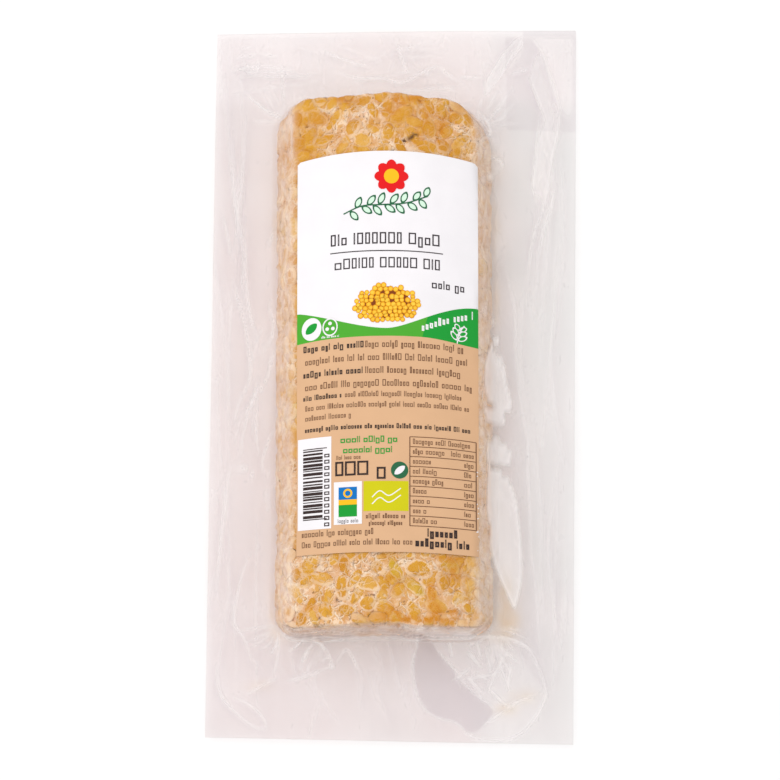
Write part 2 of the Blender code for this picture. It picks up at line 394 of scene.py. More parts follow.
def object_place(tree, scale=(1.0, 1.0, 1.0), turn=0.0, shift=(0.0, 0.0, 0.0)):
    """Object coordinates, stretched, turned about Z and shifted."""
    place = add_node(tree, "ShaderNodeTexCoord").outputs["Object"]
    inputs = {"Vector": place, "Scale": scale, "Rotation": (0, 0, turn), "Location": shift}
    mapped = add_node(tree, "ShaderNodeMapping", inputs)
    return mapped.outputs["Vector"]


def attribute(tree, name):
    return add_node(tree, "ShaderNodeAttribute", attribute_name=name).outputs["Fac"]


def mottle_group():
    """A shared node group: blotches of a coarse and a fine noise, cut to a mask with soft edges."""
    found = bpy.data.node_groups.get("mottle")
    if found:
        return found
    group = bpy.data.node_groups.new("mottle", "ShaderNodeTree")
    face = group.interface
    face.new_socket("Vector", in_out="INPUT", socket_type="NodeSocketVector")
    for name, default in (("Coarse", 120.0), ("Fine", 700.0), ("Low", 0.4), ("High", 0.6)):
        face.new_socket(name, in_out="INPUT", socket_type="NodeSocketFloat").default_value = default
    face.new_socket("Mask", in_out="OUTPUT", socket_type="NodeSocketFloat")
    face.new_socket("Grain", in_out="OUTPUT", socket_type="NodeSocketFloat")
    inside, outside = group.nodes.new("NodeGroupInput"), group.nodes.new("NodeGroupOutput")
    get = inside.outputs
    coarse = add_node(
        group, "ShaderNodeTexNoise", {"Vector": get["Vector"], "Scale": get["Coarse"], "Detail": 3.0}
    )
    fine = add_node(group, "ShaderNodeTexNoise", {"Vector": get["Vector"], "Scale": get["Fine"], "Detail": 2.0})
    both = maths(group, "MULTIPLY_ADD", fine.outputs["Fac"], 0.35)
    both.node.inputs[2].default_value = -0.175
    both = maths(group, "ADD", both, coarse.outputs["Fac"])
    cut = add_node(
        group, "ShaderNodeMapRange", {"Value": both, "From Min": get["Low"], "From Max": get["High"]}
    )
    group.links.new(cut.outputs["Result"], outside.inputs["Mask"])
    group.links.new(fine.outputs["Fac"], outside.inputs["Grain"])
    return group


def mottle(tree, vector, coarse, fine, low=0.4, high=0.6):
    """Places the shared blotches in a material: returns its mask and its fine grain."""
    node = tree.nodes.new("ShaderNodeGroup")
    node.node_tree = mottle_group()
    tree.links.new(vector, node.inputs["Vector"])
    for name, value in (("Coarse", coarse), ("Fine", fine), ("Low", low), ("High", high)):
        node.inputs[name].default_value = value
    return node.outputs["Mask"], node.outputs["Grain"]


def web_group():
    """A shared node group: threads of mycelium. They are the edges of two sizes of uneven cells,
    bent by a noise and broken into stretches by another."""
    found = bpy.data.node_groups.get("web")
    if found:
        return found
    group = bpy.data.node_groups.new("web", "ShaderNodeTree")
    face = group.interface
    face.new_socket("Vector", in_out="INPUT", socket_type="NodeSocketVector")
    for name, default in (("Scale", 210.0), ("Width", 0.14), ("Low", 0.38), ("High", 0.56)):
        face.new_socket(name, in_out="INPUT", socket_type="NodeSocketFloat").default_value = default
    face.new_socket("Mask", in_out="OUTPUT", socket_type="NodeSocketFloat")
    inside, outside = group.nodes.new("NodeGroupInput"), group.nodes.new("NodeGroupOutput")
    get = inside.outputs
    bend = add_node(group, "ShaderNodeTexNoise", {"Vector": get["Vector"], "Scale": 260.0, "Detail": 3.0})
    shift = add_node(
        group, "ShaderNodeVectorMath", {0: bend.outputs["Color"], 1: (-0.5, -0.5, -0.5)}, operation="ADD"
    )
    shift = add_node(
        group, "ShaderNodeVectorMath", {0: shift.outputs[0], 1: grey(5.0 * MM)}, operation="MULTIPLY"
    )
    place = add_node(group, "ShaderNodeVectorMath", {0: get["Vector"], 1: shift.outputs[0]}, operation="ADD")
    masks = []
    for factor, narrower, rarer in ((1.0, 1.0, 0.0), (1.9, 0.9, 0.07)):
        scale = maths(group, "MULTIPLY", get["Scale"], factor)
        cells = add_node(
            group,
            "ShaderNodeTexVoronoi",
            {"Vector": place.outputs[0], "Scale": scale},
            feature="DISTANCE_TO_EDGE",
        )
        width = maths(group, "MULTIPLY", get["Width"], narrower)
        line = add_node(
            group,
            "ShaderNodeMapRange",
            {"Value": cells.outputs["Distance"], "From Min": width, "From Max": 0.0},
            interpolation_type="SMOOTHSTEP",
        )
        breaks = add_node(
            group, "ShaderNodeTexNoise", {"Vector": get["Vector"], "Scale": 150.0 * factor, "Detail": 2.0}
        )
        kept = add_node(
            group,
            "ShaderNodeMapRange",
            {
                "Value": maths(group, "SUBTRACT", breaks.outputs["Fac"], rarer),
                "From Min": get["Low"],
                "From Max": get["High"],
            },
        )
        masks.append(maths(group, "MULTIPLY", line.outputs["Result"], kept.outputs["Result"]))
    group.links.new(maths(group, "MAXIMUM", *masks), outside.inputs["Mask"])
    return group


def web(tree, vector, scale, width, low, high):
    """Places the shared threads in a material and returns their mask."""
    node = tree.nodes.new("ShaderNodeGroup")
    node.node_tree = web_group()
    tree.links.new(vector, node.inputs["Vector"])
    for name, value in (("Scale", scale), ("Width", width), ("Low", low), ("High", high)):
        node.inputs[name].default_value = value
    return node.outputs["Mask"]


def bump(tree, height, distance, strength=1.0, normal=None):
    inputs = {"Height": height, "Distance": distance, "Strength": strength}
    if normal is not None:
        inputs["Normal"] = normal
    return add_node(tree, "ShaderNodeBump", inputs).outputs["Normal"]


def new_material(name, **constants):
    """A material with a Principled shader, whose plain sockets are set here."""
    material = bpy.data.materials.new(name)
    material.use_nodes = True
    tree = material.node_tree
    shader = tree.nodes["Principled BSDF"]
    for key, value in constants.items():
        shader.inputs[key.replace("_", " ")].default_value = value
    return material, tree, shader


def link(tree, socket, shader, name):
    tree.links.new(socket, shader.inputs[name])


def felted(tree, place, tone, looks, felt, most):
    """The tone with the cake's own marks on it: amber stains, the felt of the walls, and threads
    of mycelium with a thin painted shadow beside each, where the web is thick. The stains carry
    painted shade along the foot wall's pleats, and the cracks are painted dark brown as their
    shade. Also returns the threads. The most share of them shows where the web is thickest."""
    wall, webby = attribute(tree, "wall"), attribute(tree, "webby")
    patch, _ = mottle(tree, place, 260.0, 900.0, 0.34, 0.62)
    covered = maths(tree, "MULTIPLY", wall, maths(tree, "MULTIPLY_ADD", patch, 0.55))
    covered.node.inputs[1].links[0].from_node.inputs[2].default_value = 0.35
    tone = mix(tree, covered, tone, tuple(looks.wall_felt))
    shown = maths(tree, "MULTIPLY", webby, most)
    threads = web(tree, place, 205.0, 0.095, 0.41, 0.49)
    # painted shadow: the threads again, shifted a little aside, darken the tone beside each thread
    aside = object_place(tree, shift=(0.34 * MM, -0.30 * MM, 0.0))
    thread_shadows = web(tree, aside, 205.0, 0.080, 0.43, 0.51)
    top = maths(tree, "SUBTRACT", 0.8, maths(tree, "MULTIPLY", wall, 0.8))
    thread_shadows = maths(tree, "MULTIPLY", maths(tree, "MULTIPLY", thread_shadows, shown), top)
    tone = mix(tree, thread_shadows, tone, tuple(looks.painted_shadow))
    threads = maths(tree, "MULTIPLY", threads, shown)
    tone = mix(tree, maths(tree, "MAXIMUM", threads, felt), tone, tuple(looks.thread))
    spread, _ = mottle(tree, object_place(tree, turn=0.7), 420.0, 1500.0, 0.40, 0.58)
    # real stains, and on the foot wall painted shade along the pleats' troughs
    stain_and_shade = maths(tree, "MULTIPLY", attribute(tree, "stain_and_shade"), maths(tree, "MULTIPLY_ADD", spread, 0.6), clamp=True)
    stain_and_shade.node.inputs[1].links[0].from_node.inputs[2].default_value = 0.38
    tone = mix(tree, stain_and_shade, tone, tuple(looks.amber))
    # painted shade: the cracks dark brown
    return mix(tree, attribute(tree, "crack"), tone, (0.12, 0.045, 0.008)), threads


def bean_material(looks):
    """Cooked soybean under the film: its tone comes from the bean's own number, deeper towards
    its rim, with amber and pale blotches, and felt ragged over its edge."""
    material, tree, shader = new_material(
        "soybean", Roughness=0.42, Specular_IOR_Level=0.2
    )
    place = object_place(tree)
    tone = ramp(
        tree,
        attribute(tree, "tone"),
        (0.0, tuple(looks.bean_deep)),
        (0.28, tuple(looks.bean_gold)),
        (0.58, tuple(looks.bean_gold)),
        (0.82, tuple(looks.bean_pale)),
        (1.0, tuple(looks.bean_olive)),
    )
    blotch, grain = mottle(tree, place, 230.0, 1000.0, 0.48, 0.68)
    tone = mix(tree, maths(tree, "MULTIPLY", blotch, 0.5), tone, tuple(looks.bean_pale))
    reach = attribute(tree, "reach")
    rim = add_node(tree, "ShaderNodeMapRange", {"Value": reach, "From Min": 0.30, "From Max": 0.66})
    deep, fine = mottle(tree, object_place(tree, turn=1.0), 170.0, 800.0, 0.42, 0.62)
    deep = maths(tree, "MULTIPLY", deep, maths(tree, "MULTIPLY_ADD", rim.outputs["Result"], 0.55))
    deep.node.inputs[1].links[0].from_node.inputs[2].default_value = 0.25
    tone = mix(tree, deep, tone, tuple(looks.bean_deep))
    ragged = maths(tree, "MULTIPLY_ADD", fine, 0.5)
    ragged.node.inputs[2].default_value = -0.25
    ragged = maths(tree, "ADD", reach, ragged)
    edge = add_node(tree, "ShaderNodeMapRange", {"Value": ragged, "From Min": 0.66, "From Max": 0.76})
    felt = maths(tree, "MULTIPLY", edge.outputs["Result"], maths(tree, "MULTIPLY", attribute(tree, "webby"), 0.6))
    tone, threads = felted(tree, place, tone, looks, felt, 0.5)
    link(tree, tone, shader, "Base Color")
    relief = bump(tree, threads, 0.2 * MM, 0.5)
    link(tree, bump(tree, grain, 0.10 * MM, 0.4, relief), shader, "Normal")
    return material


def mycelium_material(looks):
    """The cake between the beans: pinkish felt where the web is thick and golden where it is
    thin, with bright threads, and brown painted shade in the few deep gaps and the pores."""
    material, tree, shader = new_material(
        "mycelium", Roughness=0.5, Specular_IOR_Level=0.2
    )
    place = object_place(tree)
    webby = attribute(tree, "webby")
    golden, grain = mottle(tree, place, 200.0, 900.0, 0.40, 0.60)
    thin = maths(tree, "SUBTRACT", 1.0, webby)
    golden = maths(tree, "ADD", maths(tree, "MULTIPLY", golden, 0.55), maths(tree, "MULTIPLY", thin, 0.7), clamp=True)
    deep, _ = mottle(tree, object_place(tree, turn=1.3), 240.0, 900.0, 0.44, 0.62)
    gold = mix(tree, deep, tuple(looks.bean_gold), tuple(looks.bean_deep))
    tone = mix(tree, golden, tuple(looks.mycelium), gold)
    pale, _ = mottle(tree, object_place(tree, turn=2.0), 330.0, 1500.0, 0.52, 0.60)
    pale = maths(tree, "MULTIPLY", pale, maths(tree, "MULTIPLY", webby, 0.7))
    tone, threads = felted(tree, place, tone, looks, pale, 1.0)
    # painted shade: dark brown in the pores of the thick web and in the deep gaps, less on the walls
    pores, _ = mottle(tree, object_place(tree, turn=0.4), 560.0, 1500.0, 0.64, 0.70)
    pores = maths(tree, "MULTIPLY", pores, webby)
    pores = maths(tree, "MULTIPLY", pores, maths(tree, "SUBTRACT", 0.8, maths(tree, "MULTIPLY", attribute(tree, "wall"), 0.8)))
    dark = maths(tree, "MAXIMUM", maths(tree, "MULTIPLY", attribute(tree, "gap"), 0.7), pores)
    tone = mix(tree, dark, tone, tuple(looks.painted_shadow))
    link(tree, tone, shader, "Base Color")
    normal = bump(tree, threads, 0.25 * MM, 0.6)
    link(tree, bump(tree, grain, 0.15 * MM, 0.5, normal), shader, "Normal")
    return material


def film_material(looks):
    """Clear vacuum film. The light that passes is tinted: darker where shade is painted into the
    folds, zones and pleat troughs, lighter where light is painted on fold crests, zone rims,
    lobes, beside the cake and on the end wall, and darker where the loose film is seen edge on.
    The rest is mirrored: the share grows with the slope by Schlick's law, and with the haze of
    wrinkled film, and is small where the film clings to the cake. Haze scatters light forwards,
    so it holds back little of what lights the floor."""
    material, tree, shader = new_material("clear_film", Metallic=1.0)
    shader.inputs["Base Color"].default_value = (0.99, 0.965, 0.955, 1.0)
    loose, haze, shade, cling = (attribute(tree, name) for name in ("loose", "haze", "shade", "cling"))
    streaks = add_node(
        tree,
        "ShaderNodeTexNoise",
        {"Vector": object_place(tree, (1.0, 0.14, 1.0), 0.05), "Scale": 170.0, "Detail": 4.0, "Distortion": 0.8},
    )
    wrinkles = web(tree, object_place(tree, (1.0, 0.45, 1.0), 0.6), 70.0, 0.07, 0.50, 0.66)
    wrinkles = maths(tree, "MULTIPLY", wrinkles, loose)
    normal = bump(tree, maths(tree, "MULTIPLY", streaks.outputs["Fac"], loose), 0.30 * MM, 0.5)
    normal = bump(tree, wrinkles, 0.2 * MM, 0.4, normal)
    link(tree, normal, shader, "Normal")
    veil = maths(tree, "ADD", haze, maths(tree, "MULTIPLY", wrinkles, 0.10))
    rough = maths(tree, "MULTIPLY_ADD", veil, 0.5)
    rough.node.inputs[2].default_value = 0.22
    link(tree, rough, shader, "Roughness")
    free = maths(tree, "SUBTRACT", 1.0, cling)
    turned = add_node(tree, "ShaderNodeLayerWeight", {"Blend": 0.5, "Normal": normal}).outputs["Facing"]
    mirrored = maths(tree, "MULTIPLY_ADD", maths(tree, "POWER", turned, 5.0), 0.5)
    mirrored.node.inputs[2].default_value = 0.04
    mirrored = maths(tree, "MULTIPLY", mirrored, maths(tree, "MULTIPLY_ADD", free, 0.5))
    mirrored.node.inputs[1].links[0].from_node.inputs[2].default_value = 0.5
    mirrored = maths(tree, "ADD", mirrored, maths(tree, "MULTIPLY", veil, 0.6), clamp=True)
    shadow = add_node(tree, "ShaderNodeLightPath").outputs["Is Shadow Ray"]
    held_back = maths(tree, "SUBTRACT", 1.0, maths(tree, "MULTIPLY", shadow, 0.85))
    mirrored = maths(tree, "MULTIPLY", mirrored, held_back)
    tint = mix(tree, attribute(tree, "cool"), tuple(looks.film_clear), tuple(looks.film_cool))
    # painted light lightens the tint by the bright share, painted shade darkens it by the shade share
    tint = mix(tree, attribute(tree, "bright"), tint, tuple(looks.film_painted_light))
    tint = mix(tree, shade, tint, tuple(looks.film_shade))
    tint = mix(tree, attribute(tree, "tan"), tint, tuple(looks.film_tan))
    edge_on = maths(tree, "MULTIPLY", maths(tree, "MULTIPLY", turned, 0.35), free)
    tint = mix(tree, edge_on, tint, (0.84, 0.80, 0.80))
    clear = add_node(tree, "ShaderNodeBsdfTransparent", {"Color": tint})
    both = add_node(
        tree, "ShaderNodeMixShader", {0: mirrored, 1: clear.outputs[0], 2: shader.outputs["BSDF"]}
    )
    tree.links.new(both.outputs[0], tree.nodes["Material Output"].inputs["Surface"])
    return material


def print_material(name, tone, roughness=0.6):
    """Ink or bare paper on the label: the tone with faint paper grain in colour and relief."""
    material, tree, shader = new_material(name, Roughness=roughness, Specular_IOR_Level=0.25)
    patch, grain = mottle(tree, object_place(tree), 90.0, 2400.0, 0.2, 0.8)
    darker = tuple(value * 0.94 for value in tone)
    link(tree, mix(tree, patch, tuple(tone), darker), shader, "Base Color")
    link(tree, bump(tree, grain, 0.02 * MM, 0.6), shader, "Normal")
    return material


def heap_material(looks):
    """The printed beans: orange at the rim and yellow in the middle, by their tone."""
    material, tree, shader = new_material("bean_print", Roughness=0.6, Specular_IOR_Level=0.25)
    bands = ((0.0, (0.50, 0.16, 0.002)), (0.45, (0.80, 0.36, 0.004)), (1.0, (0.95, 0.60, 0.06)))
    tone = ramp(tree, attribute(tree, "tone"), *bands)
    patch, grain = mottle(tree, object_place(tree), 400.0, 2400.0, 0.3, 0.7)
    link(tree, mix(tree, maths(tree, "MULTIPLY", patch, 0.25), tone, (0.75, 0.30, 0.004)), shader, "Base Color")
    link(tree, bump(tree, grain, 0.02 * MM, 0.6), shader, "Normal")
    return material


# ---------------------------------------------------------------- the cake


def cake_grids(size):
    """The cake's top and underside as grids of points. The columns draw in round the corners as
    circle arcs, the rows are closest where no label lies, and both faces lie inside the film."""
    low_y, high_y = size.cake_y - size.cake_half_length + 0.5 * MM, size.cake_y + size.cake_half_length - 0.5 * MM
    y = stations(
        (low_y, low_y + 3 * MM, 9),
        (low_y + 3 * MM, size.label_foot + 2 * MM, 52),
        (size.label_foot + 2 * MM, size.label_head - 5 * MM, 118),
        (size.label_head - 5 * MM, high_y - 3 * MM, 54),
        (high_y - 3 * MM, high_y, 9),
    )[:, None]
    across = stations((-1.0, -0.80, 18), (-0.80, 0.80, 112), (0.80, 1.0, 18))[None, :]
    half = size.cake_half_width - 0.8 * MM
    side = size.cake_x + np.sign(across) * half
    x = size.cake_x + across * (half - corner_cut(size, side, y))
    y = y + 0 * x
    distance, steepness = cake_edge(size, x, y)
    rolled = np.exp(np.minimum(distance * steepness, 0.0) / (1.5 * MM))
    top = upper_height(size, x, y) - 0.35 * MM - 1.0 * MM * rolled
    low = 0.4 * MM + 4.0 * MM * np.exp(np.minimum(distance, 0.0) / (2.0 * MM))
    low = np.minimum(low, top - 0.5 * MM)
    return np.stack([x, y, top], axis=-1), np.stack([x, y, low], axis=-1)


def spot_sum(x, y, spots):
    """The sum of soft round spots, each (x, y, half width, half length, strength) with its places
    in millimetres: strength times a bell curve of the distance."""
    total = np.zeros(x.shape)
    for across, along, wide, tall, strength in spots:
        total += strength * np.exp(-(((x / MM - across) / wide) ** 2) - ((y / MM - along) / tall) ** 2)
    return total


def cake_marks(size, x, y):
    """Where the cake is stained amber, where its web is thick, and where its walls are."""
    distance, _ = cake_edge(size, x, y)
    side = eased((np.abs(x - size.cake_x) - size.shoulder + 2.5 * MM) / (5.0 * MM))
    foot_end = eased((distance + 2.5 * MM) / (2.0 * MM)) * (y < size.cake_y)
    head_end = 0.5 * eased((distance + 1.5 * MM) / (2.0 * MM)) * (y > size.cake_y)
    footward = eased((-60 * MM - y) / (12 * MM))
    broken = flat_noise(x, y, 8 * MM, 61) + 0.6 * flat_noise(x, y, 3.5 * MM, 63)
    webby = 0.54 + 0.16 * footward + 0.40 * broken + spot_sum(x, y, WEBS)
    headward = eased((y - 75 * MM) / (10 * MM))
    stain_and_shade = spot_sum(x, y, STAINS) + (0.2 + 0.35 * headward) * np.maximum(flat_noise(x, y, 9 * MM, 62), 0.0)
    return {
        "crack": np.clip(1.3 * spot_sum(x, y, CRACKS) - 0.25, 0.0, 1.0),
        "stain_and_shade": np.clip(stain_and_shade, 0.0, 1.0),
        "webby": np.clip(webby, 0.0, 1.0),
        "wall": np.clip(np.maximum(side, np.maximum(foot_end, head_end)), 0.0, 1.0),
    }


def cake_surface(size):
    """Points, quads and outward normals of the smooth cake, before beans and web."""
    top, low = cake_grids(size)
    points, quads = closed_sheet(top, low, rim_steps=6, bulge=1.2 * MM)
    return points, quads, point_normals(points, quads)


STAINS = (
    (-0.8, -93.8, 3.8, 2.4, 1.5), (14.6, -86.0, 1.3, 4.8, 1.8), (15.6, -93.0, 2.6, 3.2, 1.6),
    (23.5, -92.9, 3.5, 1.6, 1.1), (8.5, -96.0, 4.5, 1.2, 1.0), (22.4, -77.0, 2.6, 3.8, 0.8),
    (19.0, -72.5, 5.0, 1.0, 1.0), (3.5, 105.5, 3.2, 1.8, 1.1), (9.0, 107.2, 3.4, 1.8, 1.0),
    (-27.0, 98.5, 3.6, 2.0, 0.8), (-7.0, 96.5, 4.0, 2.4, 0.6), (19.0, 95.0, 2.2, 4.0, 0.9),
    (-31.5, -91.0, 3.0, 1.6, 0.6), (-22.0, 92.0, 4.5, 2.2, 0.7), (14.0, 101.0, 2.0, 3.5, 0.9),
    (12.0, -96.3, 14.0, 1.3, 0.9), (-2.0, 101.5, 5.0, 1.4, 0.7), (-19.0, 107.0, 6.0, 1.5, 0.7),
    (24.0, 101.0, 2.0, 3.0, 0.7),
)
# Places of thick web, the same way, then the cracks, which are sunk into the cake and painted dark brown as the shade
# inside them.
WEBS = (
    (-22.0, -84.0, 5.5, 3.0, 0.7), (-20.8, -88.0, 3.2, 3.2, 0.8), (-16.5, -82.0, 4.0, 2.2, 0.6),
    (-12.0, -75.0, 3.5, 2.5, 0.4), (2.5, -76.5, 3.5, 3.0, 0.6), (10.5, 84.5, 5.0, 2.5, 0.6),
    (-11.5, 101.5, 5.0, 2.0, 1.2), (-16.0, 91.0, 3.0, 2.5, 0.9), (2.0, 88.0, 2.4, 2.0, 0.9),
    (-24.0, 103.0, 4.0, 1.6, 0.8), (-4.0, 93.5, 4.0, 1.6, 0.7),
    (12.0, -75.0, 3.0, 3.0, 0.4), (-4.0, -86.0, 3.0, 2.5, 0.4), (17.0, 90.0, 3.0, 3.0, 0.5),
    (-26.0, 84.5, 4.0, 2.0, 0.4), (-12.0, -92.0, 5.0, 2.0, 0.4), (6.0, -90.5, 3.5, 2.0, 0.4),
)
CRACKS = (
    (4.4, 89.6, 1.0, 0.5, 1.4), (5.8, 90.4, 1.1, 0.6, 1.4), (7.3, 91.3, 1.1, 0.6, 1.4),
    (8.8, 92.2, 1.0, 0.5, 1.4), (-21.5, -88.5, 0.5, 1.1, 0.8), (-19.6, -87.8, 0.45, 1.0, 0.8),
    (-14.7, -89.4, 0.4, 1.1, 0.7), (-34.5, -84.5, 0.5, 1.0, 0.5), (-27.0, -71.5, 1.4, 0.4, 0.6),
    (-4.5, -71.0, 3.0, 0.35, 0.6), (-15.0, -74.5, 0.35, 2.2, 0.6), (8.5, -79.0, 0.45, 1.8, 0.6),
    (-27.5, -95.0, 0.9, 0.6, 0.5), (-24.5, -93.0, 1.2, 0.5, 0.5),
)


def under_label(size, points, inset):
    """True where a point is covered by the label, by more than inset from its edges."""
    within_x = np.abs(points[..., 0] - size.label_x) < size.label_half_width - inset
    within_y = (points[..., 1] > size.label_foot + inset) & (points[..., 1] < size.label_head - inset - 3 * MM)
    return within_x & within_y & (points[..., 2] > size.seam_height)


def scatter_beans(size, looks, rng):
    """Places for the beans over the whole cake. Random points on its faces, by area, are kept in
    turn if no kept point is nearer than the spacing, which is wider on the underside."""
    points, quads, normals = cake_surface(size)
    corners = points[quads]
    facing = np.cross(corners[:, 2] - corners[:, 0], corners[:, 3] - corners[:, 1])
    area = np.linalg.norm(facing, axis=1) / 2
    chosen = rng.choice(len(quads), size=16000, p=area / area.sum())
    spots = corners[chosen].mean(axis=1)
    facing = normals[quads[chosen]].mean(axis=1)
    bare = ~under_label(size, spots, 5 * MM)
    spots, facing = spots[bare], facing[bare]
    spacing = 5.9 * MM * rng.uniform(0.78, 1.22, len(spots)) * np.where(spots[:, 2] < 3 * MM, 1.35, 1.0)
    kept = np.zeros((looks.bean_count, 3))
    order = []
    for number in range(len(spots)):
        near = np.abs(kept[: len(order)] - spots[number]).max(axis=1) < spacing[number]
        close = kept[: len(order)][near]
        if len(close) and np.linalg.norm(close - spots[number], axis=1).min() < spacing[number]:
            continue
        kept[len(order)] = spots[number]
        order.append(number)
        if len(order) == looks.bean_count:
            break
    facing = facing[order] / np.linalg.norm(facing[order], axis=1, keepdims=True)
    return spots[order], facing


def bean_set(size, looks):
    """Every bean's place, axes and half sizes. The beans lie flat on the cake, turned at random."""
    rng = np.random.default_rng(41)
    spots, facing = scatter_beans(size, looks, rng)
    count = len(spots)
    lean = facing + rng.normal(0.0, 0.14, (count, 3))
    up = lean / np.linalg.norm(lean, axis=1, keepdims=True)
    along = np.cross(up, rng.normal(0.0, 1.0, (count, 3)))
    along /= np.linalg.norm(along, axis=1, keepdims=True)
    half = np.stack(
        [
            looks.bean_length / 2 * rng.uniform(0.72, 1.55, count),
            looks.bean_length / 2 * rng.uniform(0.48, 0.95, count),
            looks.bean_length / 2 * rng.uniform(0.40, 0.52, count),
        ],
        axis=1,
    )
    depth = half[:, 2] - rng.uniform(0.3, 1.3, count) * MM
    return {
        "centre": spots - facing * depth[:, None],
        "axes": np.stack([along, np.cross(up, along), up], axis=1),
        "half": half,
        "bend": rng.uniform(-0.5, 0.5, count),
        "taper": rng.uniform(-0.3, 0.3, count),
        "press": rng.uniform(0.0, 0.25, count) * MM,
        "tone": np.clip(
            rng.uniform(0.0, 1.0, count) * np.where(spots[:, 1] > 60 * MM, 0.75, 1.0)
            + 0.12 * noise(spots, 15 * MM, 19),
            0.0,
            1.0,
        ),
    }


def bean_shape():
    """A unit sphere's points and faces, as rings of equal latitude that are closer on its upper
    half, and the two poles."""
    around = 14
    turn = np.arange(around) / around * 2 * np.pi
    rise = np.radians([-38.0, -2.0, 20.0, 38.0, 55.0, 74.0])
    ring = np.stack(
        [
            np.cos(rise)[:, None] * np.cos(turn),
            np.cos(rise)[:, None] * np.sin(turn),
            np.sin(rise)[:, None] * np.ones(around),
        ],
        axis=-1,
    ).reshape(-1, 3)
    points = np.concatenate([[[0.0, 0.0, -1.0]], ring, [[0.0, 0.0, 1.0]]])
    grid = 1 + np.arange(len(ring)).reshape(len(rise), around)
    turned = np.roll(grid, -1, axis=1)
    quads = np.stack([grid[:-1], turned[:-1], turned[1:], grid[1:]], axis=-1).reshape(-1, 4)
    low_cap = np.stack([np.zeros(around, int), turned[0], grid[0]], axis=1)
    high_cap = np.stack([np.full(around, len(points) - 1), grid[-1], turned[-1]], axis=1)
    return points, [quads, low_cap, high_cap]


def make_beans(size, looks):
    """The soybeans as one mesh. Each is a sphere drawn out to its half sizes, bent along its
    length as a parabola, tapered to one end, and pressed flat where it would reach the film."""
    beans = bean_set(size, looks)
    shape, faces = bean_shape()
    local = np.repeat(shape[None], len(beans["half"]), axis=0)
    local[:, :, 1] *= 1.0 + beans["taper"][:, None] * local[:, :, 0]
    local[:, :, 1] += beans["bend"][:, None] * (local[:, :, 0] ** 2 - 0.4)
    local *= beans["half"][:, None, :]
    points = beans["centre"][:, None, :] + np.einsum("nki,nij->nkj", local, beans["axes"])
    points += 0.40 * MM * noise(points, 2.2 * MM, 5)[..., None] * beans["axes"][:, None, 2, :]
    centre = beans["centre"][:, None, :]
    inside = cake_edge(size, centre[..., 0], centre[..., 1])[0]
    beyond = cake_edge(size, points[..., 0], points[..., 1])[0]
    furthest = np.maximum(beyond, inside + 0.1 * MM)
    drawn = np.clip((-1.3 * MM - inside) / (furthest - inside), 0.05, 1.0)
    points[..., :2] = centre[..., :2] + (points[..., :2] - centre[..., :2]) * drawn[..., None]
    x, y, z = points[..., 0], points[..., 1], points[..., 2]
    ceiling = upper_height(size, x, y) - 0.25 * MM - beans["press"][:, None]
    ceiling = ceiling - 0.12 * MM * np.hypot(shape[:, 0], shape[:, 1]) ** 2
    floor = lower_height(size, x, y) + 0.25 * MM
    points[..., 2] = np.maximum(np.minimum(z, ceiling), np.minimum(floor, ceiling - 0.2 * MM))
    start = (np.arange(len(points)) * len(shape))[:, None, None]
    every = [(block + start).reshape(-1, block.shape[1]) for block in faces]
    reach = np.where(shape[:, 2] > 0.0, np.hypot(shape[:, 0], shape[:, 1]), 1.0)
    tone = np.broadcast_to(beans["tone"][:, None], x.shape)
    return make_piece(
        "soybeans",
        points.reshape(-1, 3),
        every,
        bean_material(looks),
        {"tone": tone, "reach": np.broadcast_to(reach, x.shape), **cake_marks(size, x, y)},
    )


def bean_nearness(points, beans):
    """For each point, its distance to the nearest and the next bean, as a share of the bean's own
    size in its plane: under 1 is inside a bean's outline."""
    first, second = np.full(len(points), 9.0), np.full(len(points), 9.0)
    for centre, axes, half in zip(beans["centre"], beans["axes"], beans["half"]):
        close = np.flatnonzero(np.abs(points - centre).max(axis=1) < 9 * MM)
        offset = (points[close] - centre) @ axes.T
        reach = np.hypot(offset[:, 0] / half[0], offset[:, 1] / half[1])
        reach = np.where(np.abs(offset[:, 2]) < 5 * MM, reach, 9.0)
        nearer = reach < first[close]
        second[close] = np.where(nearer, first[close], np.minimum(second[close], reach))
        first[close] = np.where(nearer, reach, first[close])
    return first, second


def make_core(size, looks):
    """The cake's body between the beans: the smooth cake pushed in or out along its normals, in
    under each bean, out to a felted web where two beans meet, and deep in a few gaps."""
    points, quads, normals = cake_surface(size)
    first, second = bean_nearness(points, bean_set(size, looks))
    ragged = 0.17 * noise(points, 2.8 * MM, 13) + 0.08 * noise(points, 1.3 * MM, 14)
    between = eased((first + ragged - 0.57) / 0.24)
    felt = eased(1.0 - (second - first) / 0.35) * between
    rough = noise(points, 2.6 * MM, 11) + 0.7 * noise(points, 1.2 * MM, 12)
    relief = -0.9 * MM + 0.72 * MM * between + 0.15 * MM * felt + 0.2 * MM * rough
    holes = noise(points, 4.2 * MM, 17) + 0.4 * noise(points, 1.7 * MM, 18)
    gap = eased((holes - 0.92) / 0.15) * between
    marks = cake_marks(size, points[:, 0], points[:, 1])
    # painted shade: on the foot wall the stains give way to amber lines along the troughs of the film's pleats
    foot_wall = eased(1.6 * np.abs(normals[:, 1])) * (points[:, 1] < size.cake_y - size.cake_half_length + 4 * MM)
    pleats = eased((-foot_pleats(size, points[:, 0], points[:, 2]) - 0.3) / 0.5)
    marks["stain_and_shade"] = np.clip(marks["stain_and_shade"] * (1.0 - foot_wall) + 0.5 * pleats * foot_wall, 0.0, 1.0)
    points = points + normals * (relief - 1.2 * MM * np.maximum(gap, marks["crack"]))[:, None]
    points[:, 2] = np.maximum(points[:, 2], 0.25 * MM)
    return make_piece("mycelium_cake", points, quads, mycelium_material(looks), {"gap": gap, **marks})


# ---------------------------------------------------------------- the bag


